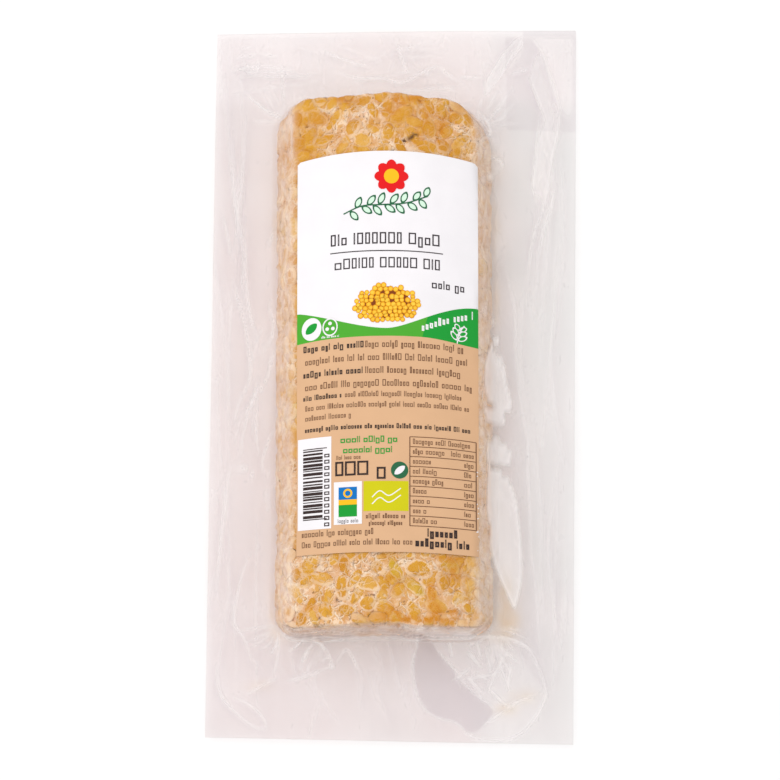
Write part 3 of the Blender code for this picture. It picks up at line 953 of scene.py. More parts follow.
def smooth_path(points):
    """Places along a smooth curve through points in millimetres, eight to a stretch. Each stretch
    is a cubic whose slope at a point is that between the point's two neighbours."""
    spots = np.array(points, dtype=float) * MM
    spots = np.concatenate([2 * spots[:1] - spots[1:2], spots, 2 * spots[-1:] - spots[-2:-1]])
    before, start, end, after = spots[:-3], spots[1:-2], spots[2:-1], spots[3:]
    part = np.linspace(0, 1, 8, endpoint=False)[:, None, None]
    curve = start + 0.5 * part * (end - before)
    curve = curve + part**2 * (before - 2.5 * start + 2 * end - 0.5 * after)
    curve = curve + part**3 * (1.5 * start - 0.5 * before - 1.5 * end + 0.5 * after)
    return np.concatenate([curve.transpose(1, 0, 2).reshape(-1, 2), spots[-2:-1]])


def path_offset(x, y, path):
    """How far each place is to the left of a path, and how far along the path its nearest place
    lies, as a share of the path's length."""
    steps = np.diff(path, axis=0)
    lengths = np.hypot(steps[:, 0], steps[:, 1])
    passed = np.concatenate([[0.0], np.cumsum(lengths)])
    nearest, offset, share_along = np.full(x.shape, np.inf), np.zeros(x.shape), np.zeros(x.shape)
    for start, step, reach, gone in zip(path, steps, lengths, passed):
        part = np.clip(((x - start[0]) * step[0] + (y - start[1]) * step[1]) / reach**2, 0.0, 1.0)
        gap_x, gap_y = x - start[0] - part * step[0], y - start[1] - part * step[1]
        gap = np.hypot(gap_x, gap_y)
        nearer = gap < nearest
        nearest = np.where(nearer, gap, nearest)
        side = np.sign(step[0] * gap_y - step[1] * gap_x)
        offset = np.where(nearer, side * gap, offset)
        share_along = np.where(nearer, (gone + part * reach) / passed[-1], share_along)
    return offset, share_along


def near_path(x, y, path, margin=6 * MM):
    """True for the places in the path's box, widened by a margin."""
    low, high = path.min(axis=0) - margin, path.max(axis=0) + margin
    return (x > low[0]) & (x < high[0]) & (y > low[1]) & (y < high[1])


def add_fold(fields, x, y, points, height=0.25, left=1.4, right=1.4, light=0.3, shade=0.3):
    """Adds a fold along a path, in millimetres: a tent with its own width on each side, a hazy
    line on its crest with a painted highlight, and a painted shadow line on its right. All die
    out at its two ends."""
    path = smooth_path(points)
    near = near_path(x, y, path)
    offset, along = path_offset(x[near], y[near], path)
    fade = np.sin(np.pi * along) ** 0.5
    width = np.where(offset > 0, left, right) * MM
    fields["lift"][near] += height * MM * np.clip(1.0 - np.abs(offset) / width, 0.0, 1.0) * fade
    crest = light * np.exp(-((offset / (0.65 * MM)) ** 2)) * fade
    fields["haze"][near] += crest
    fields["bright"][near] += crest
    fields["shade"][near] += shade * np.exp(-(((offset + 1.5 * MM) / (0.9 * MM)) ** 2)) * fade


def add_zone(fields, x, y, points, swell=0.0, light=0.0, shade=0.0, rim=0.0):
    """Adds a zone inside a closed outline given anticlockwise, in millimetres: it may swell, be
    hazier and painted lighter, or painted darker as shade, and have a raised rim with haze and a
    painted highlight."""
    path = smooth_path([*points, points[0]])
    near = near_path(x, y, path)
    depth = path_offset(x[near], y[near], path)[0]
    within = eased(depth / (1.2 * MM) + 0.5)
    edge = np.exp(-((depth / (0.6 * MM)) ** 2))
    fields["lift"][near] += swell * MM * eased(depth / (4 * MM)) + 0.25 * MM * rim * edge
    fields["haze"][near] += light * within + rim * edge
    fields["bright"][near] += 1.6 * light * within + rim * edge
    fields["shade"][near] += shade * within


# Thin folds over the cake's shoulders, and a crinkle on its head.
SHOULDER_FOLDS = (
    [(-39, 105), (-39.2, 95), (-39, 84)],
    [(-38.9, -73.5), (-38.6, -84), (-37.2, -95.6)],
    [(26.4, -73.9), (26.7, -84), (26, -93.5)],
    [(-18.1, 98.9), (-13.5, 100.6), (-8.3, 101.0)],
    [(-12.7, 103.5), (-11, 102.9), (-9.6, 101.8)],
    [(-19, 97.6), (-14, 98.3), (-9, 100)],
)
# The folds of the upper film that can be told apart, each as its path in millimetres.
LEFT_FOLDS = (
    [(-62.5, 105), (-62.5, 92), (-62, 78), (-61, 68), (-58.5, 54), (-58.5, 36), (-56.5, 24), (-54.5, 14)],
    [(-54.5, 16), (-55.5, 1), (-59.5, -8), (-62, -18)],
    [(-66.5, 66), (-64.5, 58), (-62.5, 48)],
    [(-62, 40), (-59.5, 30), (-57, 20), (-56, 12), (-55.5, 0)],
    [(-57, 54), (-57, 36), (-55.5, 26), (-53, 18), (-53, 11)],
    [(-41.5, 20), (-43.5, 14), (-47, 8), (-49, 0), (-55.5, -9), (-59, -15), (-62, -26)],
    [(-47, 33), (-48, 28), (-46, 22), (-47.5, 16), (-51, 12)],
    [(-45.5, 60), (-48.5, 53)],
    [(-51, 2), (-55.5, -11), (-58, -21), (-59, -30)],
    [(-52.5, -6), (-53, -19), (-51.5, -31)],
    [(-44, -17), (-47.5, -23), (-50, -30), (-50.5, -34), (-47.5, -37.5), (-45.5, -39)],
    [(-56, -34), (-61, -32), (-63.5, -36.5), (-65, -46), (-66.5, -62), (-67.5, -77), (-69, -86)],
    [(-62, -34.5), (-57, -34.5), (-54, -37.5), (-58, -39)],
    [(-50.5, -45.5), (-44.5, -42)],
    [(-49.5, -47.5), (-44.2, -45)],
    [(-49, -50), (-44, -47.8)],
    [(-50.5, -65), (-55, -68), (-59, -79), (-61, -93), (-57, -100.5), (-54, -108), (-50, -112)],
)
FOOT_FOLDS = (
    [(-68, -109), (-66.5, -120), (-63, -125.5), (-58.5, -130), (-53, -134), (-48, -135)],
    [(-61, -122.5), (-55, -125.5), (-50, -130), (-48, -135)],
    [(-56, -121.5), (-50, -118), (-44, -115)],
    [(-22, -110.5), (-32, -114), (-42, -117)],
    [(-23, -111), (-26, -104.5), (-31, -100)],
    [(-22, -110), (-17.5, -105), (-12, -115)],
    [(-29.5, -101.5), (-34, -107), (-36, -113)],
)
HEAD_FOLDS = (
    [(-61, 124.5), (-53, 126), (-46.5, 125.5), (-38, 124.5)],
    [(-61, 120.5), (-56, 122), (-36.5, 121.5), (-29, 123.5)],
    [(-60, 122.5), (-51.5, 123.8), (-36.5, 122.8)],
    [(-28, 133), (-21, 129), (-13, 126.5), (-8, 125)],
    [(-25, 125), (-16, 121), (-3, 120), (3, 118.5), (8.5, 121), (14.5, 124.5), (18.5, 125), (22.5, 121), (28, 117.5)],
    [(1, 138.5), (3.5, 128.5), (6, 122)],
    [(26, 121), (35.5, 121)],
    [(25, 116.5), (3, 115)],
)
RIGHT_FOLDS = (
    [(49, 137.5), (44, 131.5), (40, 125), (37, 119.5), (36.5, 113)],
    [(50.5, 136), (45.5, 128.5), (41, 120)],
    [(46, 122.5), (53.5, 125)],
    [(55.5, 136.5), (59.5, 129), (61.5, 122.5), (64, 114), (65.5, 108)],
    [(53.5, 122), (57, 112), (59.5, 104)],
    [(66, 109), (62, 88), (59.5, 72), (54.5, 56), (52.5, 36)],
    [(57.5, 107), (56, 92), (54.5, 75)],
    [(64.5, 79), (61.5, 70), (58.5, 60), (56, 47)],
    [(33, 75.5), (37, 79.5), (42, 83.2)],
    [(33.5, 77.5), (41.5, 82)],
    [(38, 88), (42, 86.5), (43, 83)],
    [(35.5, 105), (38, 98), (34, 92), (36.5, 89)],
    [(34, 26.5), (41, 21.2)],
    [(13.5, -100), (18, -106.5), (24, -113), (27.5, -118), (33.5, -123), (39.5, -127.5)],
    [(22, -117), (29.5, -111.8)],
    [(56, -122), (48.5, -124), (41, -129), (33, -134)],
    [(45, -104), (40, -112), (36, -121)],
)
CHANNEL_LINE = [
    (42, 54), (44, 42.5), (46.5, 32.5), (47.5, 24.5), (47.5, 12.5), (48.5, 3), (49, -5), (50.5, -15), (52, -23),
    (52, -34.5), (52.5, -46), (53, -64), (54, -73.5), (55, -85), (56, -100.5), (57.5, -110), (58.5, -120),
]
LOBES = (
    [(37.5, 11), (36, 4.5), (36, -5), (38.5, -10), (44.5, -11), (45.5, -8.5), (43.5, -1), (42.5, 6.5)],
    [(35.5, -13), (37, -17), (41.5, -18), (43, -15), (40.5, -12)],
    [(36.5, -25.5), (37, -32.5), (42.5, -32.5), (45.5, -30.5), (43.5, -26.5), (40, -24)],
    [
        (37, -35), (36.5, -52), (38, -58), (38, -66), (41, -76), (44.5, -84), (46.5, -88),
        (47.5, -85), (49, -77.5), (49, -64), (48, -54), (46.5, -45), (43.5, -38.5),
    ],
)
POCKET_LINE = [
    (9.5, -99), (9, -104.5), (7.5, -110), (8, -116), (9.5, -122), (12.5, -127), (16.5, -130), (22, -131.5),
    (25.5, -133), (28.5, -136.5), (33, -138.6), (39, -139), (44, -138.8), (49, -136.5), (53.5, -132),
    (57.5, -125.5), (58.5, -120), (55.5, -110), (50, -102), (40, -100), (24, -99.5),
]
POCKET_SHADE = [
    (9.5, -99), (9, -104.5), (7.5, -110), (8, -116), (9.5, -122), (12.5, -127), (16.5, -130), (22, -131.5),
    (25.5, -133), (28.5, -136), (34, -134), (38, -128), (33.5, -123), (27.5, -118), (24, -113), (18, -106.5),
    (13.5, -100),
]
RIBBON = [
    (53.5, 121), (57, 112), (59.5, 105), (57.5, 98), (56, 88), (54.5, 76), (59.5, 73), (62, 88), (65.5, 104),
    (64, 114), (61.5, 122.5), (57, 131),
]
HEAD_CORNER = [
    (51, 138), (55, 137), (59.5, 129), (61.5, 122.5), (64, 114), (66, 108), (70, 108), (70.5, 138),
]
FOLDED_TIP = [(36.5, 114), (37, 119.5), (40, 125), (44, 131.5), (48.5, 137), (51, 136), (46, 128), (41, 120)]


# Where the cake's juice has stained the margin, as soft spots.
FILM_STAINS = (
    (43.0, -82.0, 3.0, 7.0, 0.75), (43.5, -93.0, 4.0, 5.0, 0.8), (40.0, -99.5, 4.5, 2.5, 0.5),
    (50.0, -122.0, 4.5, 2.5, 0.4), (43.5, -127.0, 4.0, 2.0, 0.4), (-46.0, -88.0, 1.6, 9.0, 0.35),
    (-45.5, -99.0, 3.0, 2.5, 0.4), (-52.0, -118.0, 5.0, 2.0, 0.25), (39.0, 84.0, 3.0, 6.0, 0.35),
    (39.5, 60.0, 1.8, 9.0, 0.5), (40.0, 30.0, 1.4, 14.0, 0.4), (-45.5, 60.0, 1.2, 14.0, 0.35),
)


def random_folds(rng, count, box, heading, spread, lengths):
    """Paths scattered in a box, (x, y, x, y) in millimetres, that point about one way and bend a
    little."""
    made = []
    for _ in range(count):
        middle = np.array([rng.uniform(box[0], box[2]), rng.uniform(box[1], box[3])])
        turn, reach = math.radians(heading + rng.normal(0.0, spread)), rng.uniform(*lengths) / 2
        ahead, aside = np.array([math.cos(turn), math.sin(turn)]), np.array([-math.sin(turn), math.cos(turn)])
        bend = rng.normal(0.0, 0.06) * reach
        made.append([middle - reach * ahead, middle + bend * aside, middle + reach * ahead])
    return made


def fan_folds(rng, count, corner, towards, spread, lengths):
    """Paths that run out from a corner of the cake, opening like a fan."""
    made = []
    for turn in np.linspace(-spread, spread, count):
        angle, reach = math.radians(towards + turn + rng.normal(0.0, 4.0)), rng.uniform(*lengths)
        ahead, aside = np.array([math.cos(angle), math.sin(angle)]), np.array([-math.sin(angle), math.cos(angle)])
        start = np.array(corner) + rng.uniform(1.0, 5.0) * ahead
        made.append([start, start + reach / 2 * ahead + rng.normal(0.0, 0.8) * aside, start + reach * ahead])
    return made


def film_fields(size, x, y):
    """Lift, haze, painted shade and painted light of the upper film, summed over all its folds and zones."""
    fields = {name: np.zeros(x.shape) for name in ("lift", "haze", "shade", "bright")}
    rng = np.random.default_rng(7)
    left, right = (size.cake_x - size.cake_half_width) / MM, (size.cake_x + size.cake_half_width) / MM
    head, foot = (size.cake_y + size.cake_half_length) / MM, (size.cake_y - size.cake_half_length) / MM
    for points in (*LEFT_FOLDS, *HEAD_FOLDS):
        add_fold(fields, x, y, points, 0.35, rng.uniform(0.9, 2.4), rng.uniform(0.9, 1.8), 0.34, 0.42)
    for points in (*FOOT_FOLDS, *RIGHT_FOLDS):
        add_fold(fields, x, y, points, 0.5, rng.uniform(1.0, 2.6), rng.uniform(0.9, 2.0), 0.34, 0.45)
    for points in SHOULDER_FOLDS:
        add_fold(fields, x, y, points, 0.3, 1.0, 1.0, 0.7, 0.3)
    # The zones paint shade into the channel beside the cake, the pocket and the head's corner, and light onto the
    # lobes, the ribbon and the folded tip
    add_zone(fields, x, y, [*CHANNEL_LINE, (46, -104), (38.5, -95), (38.5, -50), (38.5, 40)][::-1], 0.0, 0.0, 0.42)
    add_fold(fields, x, y, CHANNEL_LINE, 0.4, 3.0, 1.2, 0.25, 0.0)
    for outline in LOBES:
        add_zone(fields, x, y, outline, 0.9, 0.62, -0.6, 0.45)
    add_zone(fields, x, y, POCKET_LINE, 1.0, 0.16, 0.0, 0.35)
    add_zone(fields, x, y, POCKET_SHADE, 0.0, -0.25, 0.85)
    add_zone(fields, x, y, RIBBON, 0.5, 0.35, 0.0, 0.12)
    add_zone(fields, x, y, FOLDED_TIP[::-1], 0.5, 0.45, 0.0, 0.12)
    add_zone(fields, x, y, HEAD_CORNER[::-1], 0.2, -0.1, 0.55, 0.1)
    faint = random_folds(rng, 16, (left - 24, -90, left - 6, 100), 90, 5.0, (24, 90))
    faint += random_folds(rng, 14, (right + 14, -100, right + 28, 90), 90, 3.0, (30, 110))
    faint += random_folds(rng, 12, (-58, 114, 30, 136), -6, 16.0, (12, 40))
    faint += random_folds(rng, 10, (-40, -134, 8, -106), 90, 24.0, (10, 26))
    for points in faint:
        add_fold(fields, x, y, points, 0.18, rng.uniform(0.8, 2.4), rng.uniform(0.8, 2.0), 0.14, 0.24)
    crumpled = random_folds(rng, 12, (20, -124, 50, -100), -45, 30.0, (5, 14))
    crumpled += random_folds(rng, 9, (-62, 124, -48, 134), 10, 40.0, (4, 9))
    crumpled += random_folds(rng, 8, (-38, -112, -22, -101), 60, 40.0, (4, 10))
    crumpled += fan_folds(rng, 6, (left + 3, head - 8), 132, 34, (10, 24))
    crumpled += fan_folds(rng, 7, (right - 5, head - 12), 48, 36, (10, 26))
    crumpled += fan_folds(rng, 7, (left + 2, foot + 3), 226, 38, (8, 22))
    crumpled += fan_folds(rng, 8, (right - 2, foot + 3), -42, 38, (8, 24))
    for points in crumpled:
        add_fold(fields, x, y, points, rng.uniform(0.2, 0.5), rng.uniform(0.7, 1.6), 1.0, 0.28, 0.3)
    return fields


def foot_pleats(size, x, height):
    """The film's pleats across the foot wall, by height above the floor: four waves of uneven
    strength that slant a little and dip towards both ends."""
    across = (x - size.cake_x) / size.cake_half_width
    level = height + 5.0 * MM * across**4 + 1.2 * MM * np.sin(3.1 * across + 0.5)
    wave = np.cos(2 * np.pi * level / (5.4 * MM)) * (0.65 + 0.35 * np.sin(level / (2.3 * MM) + 2 * across))
    return np.clip(wave, -1.0, 1.0)


def bag_plan(size):
    """The film's grid in plan: close steps in the margins and down the walls, wide ones under the
    label. The columns draw in round the cake's corners, and the bag's own corners are cut a
    little out of square."""
    half_wide, half_long = size.bag_half_width, size.bag_half_length
    left, right = size.cake_x - size.cake_half_width, size.cake_x + size.cake_half_width
    foot, head = size.cake_y - size.cake_half_length, size.cake_y + size.cake_half_length
    x = stations(
        (-half_wide, left - 3 * MM, 64),
        (left - 3 * MM, left + 8 * MM, 24),
        (left + 8 * MM, right - 8 * MM, 88),
        (right - 8 * MM, right + 3 * MM, 24),
        (right + 3 * MM, half_wide, 76),
    )[None, :]
    y = stations(
        (-half_long, foot - 1.2 * MM, 70),
        (foot - 1.2 * MM, foot + 2.2 * MM, 26),
        (foot + 2.2 * MM, size.label_foot, 34),
        (size.label_foot, size.label_head, 60),
        (size.label_head, head - 3 * MM, 28),
        (head - 3 * MM, head + 1.5 * MM, 12),
        (head + 1.5 * MM, half_long, 50),
    )[:, None]
    reach = np.abs(x - size.cake_x)
    room = half_wide - np.sign(x - size.cake_x) * size.cake_x
    fade = np.minimum(reach / size.cake_half_width, (room - reach) / (room - size.cake_half_width))
    right_share, head_share = (x / half_wide + 1) / 2, (y / half_long + 1) / 2
    corners = (
        (3.0 * MM, 1.6 * MM, (1 - right_share) * head_share),
        (0.0, 2.8 * MM, (1 - right_share) * (1 - head_share)),
        (3.0 * MM, 0.0, right_share * (1 - head_share)),
    )
    inset_x = sum(inset * part for inset, _, part in corners) * np.maximum(np.abs(x) / half_wide - 0.7, 0) / 0.3
    inset_y = sum(inset * part for _, inset, part in corners) * np.maximum(np.abs(y) / half_long - 0.8, 0) / 0.2
    drawn = x - np.sign(x - size.cake_x) * fade * corner_cut(size, x, y)
    return drawn - np.sign(x) * inset_x, y - np.sign(y) * inset_y


def make_film(size, looks):
    """The bag: an upper and a lower film joined at the cut edge. The upper one hugs the beans,
    bridges the cake's walls, is pleated down the foot wall and folded in the margins."""
    x, y = bag_plan(size)
    distance, steepness = cake_edge(size, x, y)
    stretched = distance * steepness
    edge = np.minimum(size.bag_half_width - np.abs(x), size.bag_half_length - np.abs(y))
    free = eased((stretched - 0.5 * MM) / (4 * MM)) * eased(edge / (4 * MM))
    hug = eased(-(stretched + 5.0 * MM) / (3 * MM))
    fields = film_fields(size, x, y)
    undulation = 0.20 * MM * flat_noise(x, y, 24 * MM, 3) + 0.06 * MM * flat_noise(x, y, 9 * MM, 4)
    seal = 0.15 * MM * np.exp(-(((edge - 7.5 * MM) / (0.7 * MM)) ** 2))
    dimple = 0.10 * MM * flat_noise(x, y, 4.6 * MM, 8) + 0.06 * MM * flat_noise(x, y, 2.2 * MM, 9)
    lift = fields["lift"] * (1.0 - 0.85 * hug) * eased(edge / (3 * MM)) + undulation * free + seal + dimple * hug
    upper = upper_height(size, x, y) + np.maximum(lift, -0.2 * MM)
    lower = np.maximum(lower_height(size, x, y) + 0.5 * undulation * free, 0.03 * MM)[::2, ::2]
    upper[::2, ::2] = np.maximum(upper[::2, ::2], lower + 0.15 * MM)
    end_wall = eased((stretched + 6.5 * MM) / (1.5 * MM)) * eased((3.0 * MM - distance) / (2 * MM))
    end_wall *= eased((steepness - 2.0) / 2.0) * (y < size.cake_y)
    pleat = foot_pleats(size, x, upper) * end_wall
    top = np.stack([x, y - 0.6 * MM * (pleat + end_wall), upper], axis=-1)
    points, faces = bag_shell(top, np.stack([x[::2, ::2], y[::2, ::2], lower], axis=-1))
    ragged = 1.4 * MM * flat_noise(x, y, 5 * MM, 30)
    wall = eased((stretched + 8 * MM) / (5 * MM)) * eased((5.0 * MM - distance + ragged) / (5 * MM))
    rightward = eased((x - 10 * MM) / (30 * MM))
    patchy = flat_noise(x, y, 15 * MM, 31)
    haze = (0.05 + 0.20 * rightward) * wall + 0.30 * end_wall + 0.35 * np.maximum(pleat, 0.0)
    streaky = flat_noise(x, 0.12 * y, 3.4 * MM, 36) + 0.6 * flat_noise(x, 0.2 * y, 1.6 * MM, 38)
    headward, footward = eased((y - 106 * MM) / (10 * MM)), eased((-98 * MM - y) / (10 * MM))
    milky = 0.05 + 0.05 * headward + 0.05 * patchy + 0.04 * streaky
    # painted light: the bright share lightens the tint on fold crests, zone rims and lobes, beside the cake and on the
    # end wall; it is also lighter towards the head and in random patches and streaks
    bright = 0.66 * headward + 0.05 * footward + 0.10 + 0.25 * patchy + 0.08 * streaky + fields["bright"]
    bright = bright + 0.4 * eased((14 * MM - distance) / (12 * MM)) * free + 0.5 * end_wall
    haze = haze + milky * free + fields["haze"] * (1.0 - 0.6 * hug)
    # painted shade: darker in the pleats' troughs, beside the folds and in the shaded zones, with random patches and
    # streaks
    shade = 0.9 * np.maximum(-pleat, 0.0) + 0.14 * flat_noise(x, y, 26 * MM, 33) + fields["shade"]
    shade = shade + 0.12 * flat_noise(x, 0.10 * y, 6 * MM, 37) * free
    cling = eased((1.5 * MM - stretched + ragged) / (4 * MM))
    cool = eased((x - 26 * MM) / (16 * MM)) + 0.35 * flat_noise(x, y, 30 * MM, 35)
    looks_of = {
        "haze": np.clip(haze, 0.0, 0.9),
        "loose": np.clip(free + 0.15, 0.0, 1.0),
        "shade": np.clip(shade, 0.0, 1.0) * (1.0 - 0.8 * hug),
        "cool": np.clip(cool, 0.0, 1.0),
        "cling": cling,
        "bright": np.clip(bright, 0.0, 1.0),
        "tan": np.clip(spot_sum(x, y, FILM_STAINS) * (1.0 + 0.8 * flat_noise(x, y, 4 * MM, 39)), 0.0, 1.0),
    }
    share_below = {"haze": 0.3, "loose": 1.0, "shade": 0.3, "cool": 1.0, "cling": 0.0, "bright": 1.0, "tan": 1.0}
    looks_of = {
        name: np.concatenate([values.ravel(), share_below[name] * values[::2, ::2].ravel()])
        for name, values in looks_of.items()
    }
    film = make_piece("bag_film", points, faces, film_material(looks), looks_of)
    return film


# ---------------------------------------------------------------- the label


def label_points(size, u, v, lift):
    """Places on the label. u runs across from its middle and v up from its foot, in millimetres;
    rows arch more and more towards the head, and everything follows the crown."""
    length_mm = (size.label_head - size.label_foot) / MM
    arch = 0.5 + 1.8 * v / length_mm
    x = size.label_x + u * MM
    y = size.label_foot + (v - arch * (u * MM / size.label_half_width) ** 2) * MM
    ripple = 0.05 * MM * flat_noise(x, y, 7 * MM, 51)
    return np.stack([x, y, upper_height(size, x, y) + ripple + lift], axis=-1)


def label_outline(size, u):
    """Height of the label's head edge over u: a shallow arch, rounded off at the two corners."""
    half = size.label_half_width / MM
    length_mm = (size.label_head - size.label_foot) / MM
    corner = 1.3
    short = np.maximum(corner - (half - np.abs(u)), 0.0)
    return length_mm - 0.9 * (u / half) ** 2 - (corner - np.sqrt(np.maximum(corner**2 - short**2, 0.0)))


class Print:
    """Collects the shapes that one ink prints, as points, quads and triangles, with a tone for
    each point. Every shape is a thin closed body that lies on the label."""

    def __init__(self, size, layer):
        self.size = size
        self.lift = PAPER_LIFT + layer * INK_STEP
        self.points, self.quads, self.triangles, self.tones = [], [], [], []
        self.count = 0

    def add(self, points, quads, triangles=None, tone=0.0):
        self.points.append(points)
        self.quads.append(quads + self.count)
        if triangles is not None:
            self.triangles.append(triangles + self.count)
        self.tones.append(tone + np.zeros(len(points)))
        self.count += len(points)

    def field(self, across, low, high, steps=(1, 1), thickness=INK_STEP):
        """A field between two edges. across is (first, last) u; low and high are the v of its
        edges over u, as numbers or functions of u."""
        u = np.linspace(*across, steps[0] + 1)[None, :]
        bottom, top = (edge(u) if callable(edge) else edge + 0 * u for edge in (low, high))
        v = bottom + (top - bottom) * np.linspace(0, 1, steps[1] + 1)[:, None]
        u = u + 0 * v
        upper, lower = (label_points(self.size, u, v, self.lift - drop) for drop in (0.0, thickness))
        self.add(*closed_sheet(upper, lower))

    def loops(self, u, v, hollow=False, tone=None):
        """A shape from nested closed loops, the rows of u and v from the inside out, with a hole
        inside the first loop or a point at its middle. tone gives a value for each loop."""
        rows, around = u.shape
        if not hollow:
            u, v = (np.concatenate([row, np.full((1, around), row[0].mean())]) for row in (u, v))
        count = u.size
        upper, lower = (label_points(self.size, u, v, self.lift - drop) for drop in (0.0, INK_STEP))
        grid = np.arange(rows * around).reshape(rows, around)
        turned = np.roll(grid, -1, axis=1)
        top = np.stack([grid[:-1], grid[1:], turned[1:], turned[:-1]], axis=-1).reshape(-1, 4)
        rim = np.stack([grid[-1], count + grid[-1], count + turned[-1], turned[-1]], axis=-1)
        quads = [top, count + top[:, ::-1], rim]
        points = np.concatenate([upper.reshape(-1, 3), lower.reshape(-1, 3)])
        tones = np.zeros(count)
        if tone is not None:
            tones[: rows * around] = np.repeat(tone, around)
            tones[rows * around :] = tone[0]
        if hollow:
            quads.append(np.stack([turned[0], count + turned[0], count + grid[0], grid[0]], axis=-1))
            self.add(points, np.concatenate(quads), None, np.tile(tones, 2))
            return
        middle = np.full(around, rows * around)
        fan = np.stack([middle, grid[0], turned[0]], axis=-1)
        used = np.concatenate([np.arange(rows * around + 1), count + np.arange(rows * around + 1)])
        renumbered = np.full(2 * count, -1)
        renumbered[used] = np.arange(len(used))
        fans = np.concatenate([fan, count + fan[:, ::-1]])
        self.add(points[used], renumbered[np.concatenate(quads)], renumbered[fans], np.tile(tones, 2)[used])

    def round(self, centre, radius, hollow=0.0, around=24, tall=1.0, petals=0, tone=None):
        """A disc, or a ring whose hole has a share of its radius. With petals, the radius swells
        and shrinks with the turn that many times."""
        turn = np.arange(around) / around * 2 * np.pi
        reach = radius * (1.0 - 0.22 * (1 - np.abs(np.cos(petals * turn / 2))) * (petals > 0))
        part = np.linspace(hollow, 1.0, 2 if hollow else 4)[0 if hollow else 1 :, None]
        u, v = centre[0] + part * reach * np.cos(turn), centre[1] + tall * part * reach * np.sin(turn)
        self.loops(u, v, hollow > 0, tone)

    def leaf(self, start, end, width, hollow=0.0, tone=None):
        """A pointed leaf between two places, half as wide as width times a sine wave along it."""
        turn = np.arange(16) / 16 * 2 * np.pi
        along, aside = 0.5 - 0.5 * np.cos(turn), 0.5 * np.sin(turn) * np.abs(np.sin(turn)) ** 0.4
        part = np.array([[hollow], [1.0]]) if hollow else np.array([[0.5], [1.0]])
        along = 0.5 + part * (along - 0.5)
        step = np.subtract(end, start)
        reach = np.hypot(*step)
        u = start[0] + step[0] * along - step[1] / reach * part * width * aside
        v = start[1] + step[1] * along + step[0] / reach * part * width * aside
        self.loops(u[:, ::-1], v[:, ::-1], hollow > 0, tone)

    def box(self, across, low, high, stroke):
        """An upright box drawn with a line, as stands in for a sign where a font has none."""
        middle = np.array([sum(across) / 2, (low + high) / 2])
        half = np.array([(across[1] - across[0]) / 2, (high - low) / 2])
        inner = np.maximum(half - stroke, 0.04)
        turn = np.array([[-1, -1], [1, -1], [1, 1], [-1, 1]])
        corners = middle + turn * np.stack([inner, half])[:, None, :]
        self.loops(corners[..., 0], corners[..., 1], hollow=True)

    def line(self, points, width):
        """A line of even width along a smooth path through points."""
        path = smooth_path(points) / MM
        ahead = np.gradient(path, axis=0)
        ahead /= np.hypot(ahead[:, 0], ahead[:, 1])[:, None]
        aside = np.stack([-ahead[:, 1], ahead[:, 0]], axis=1) * width / 2
        sides = np.stack([path + aside, path - aside], axis=1)
        upper, lower = (
            label_points(self.size, sides[..., 0], sides[..., 1], self.lift - drop) for drop in (0.0, INK_STEP)
        )
        self.add(*closed_sheet(upper, lower))

    def words(self, rng, first, last, foot, height, weight=0.11, wide=(0.26, 0.52), rise=None, tall=0.34):
        """A line of made-up print from u first to last: words of upright boxes of uneven width,
        a share of them tall, some narrow and some hanging, which spell nothing. rise lifts it
        over u."""
        u, gap = first, 0.17 * height
        while u < last - 0.5 * height:
            for _ in range(int(rng.integers(3, 9))):
                draw, width = rng.random(), height * rng.uniform(*wide)
                width = 0.13 * height if draw < 0.22 else width
                if u + width > last:
                    break
                base = foot + (rise(u) if rise else 0.0)
                low = base - (0.26 * height if draw > 0.9 else 0.0)
                high = base + height * (1.0 if draw < tall else 0.66)
                self.box((u, u + width), low, high, weight * height)
                u += width + gap
            u += 0.42 * height

    def piece(self, name, material):
        """Makes one object of all the shapes."""
        faces = [np.concatenate(self.quads)] + ([np.concatenate(self.triangles)] if self.triangles else [])
        tones = {"tone": np.concatenate(self.tones)}
        made = make_piece(name, np.concatenate(self.points), faces, material, tones)
        made.data.set_sharp_from_angle(angle=math.radians(40))
        return made


def band_top(u):
    """The green band's upper edge: it falls from both sides to a low middle, as a cubic of u on
    the left and half a cosine wave on the right."""
    left = 86.3 + 8.5 * (np.minimum(u, 0.0) / -34.4) ** 2 * (1.9 + 0.9 * u / 34.4)
    right = 86.3 + 10.9 * eased(np.maximum(u, 0.0) / 34.5) ** 0.9 + 0.3 * np.sin(np.maximum(u, 0.0) / 5.5)
    return np.where(u < 0, np.minimum(left, 94.7), right)


def band_foot(u):
    return 83.3 - 0.6 * (np.minimum(u, 0.0) / 34.0) ** 4 - 1.7 * eased((u - 12.0) / 24.0)


def right_band_start(u):
    """Upper edge of the deeper green, whose own edge slants across the band at its left end."""
    return np.minimum(band_top(u), band_foot(u) + (u - 13.2) * 4.0)


def heap_half_width(v):
    """Half the width of the printed heap of beans at height v."""
    return 12.6 * np.sqrt(np.clip(1.0 - ((v - 94.4) / np.where(v > 94.4, 9.2, 5.6)) ** 2, 0.0, 1.0))


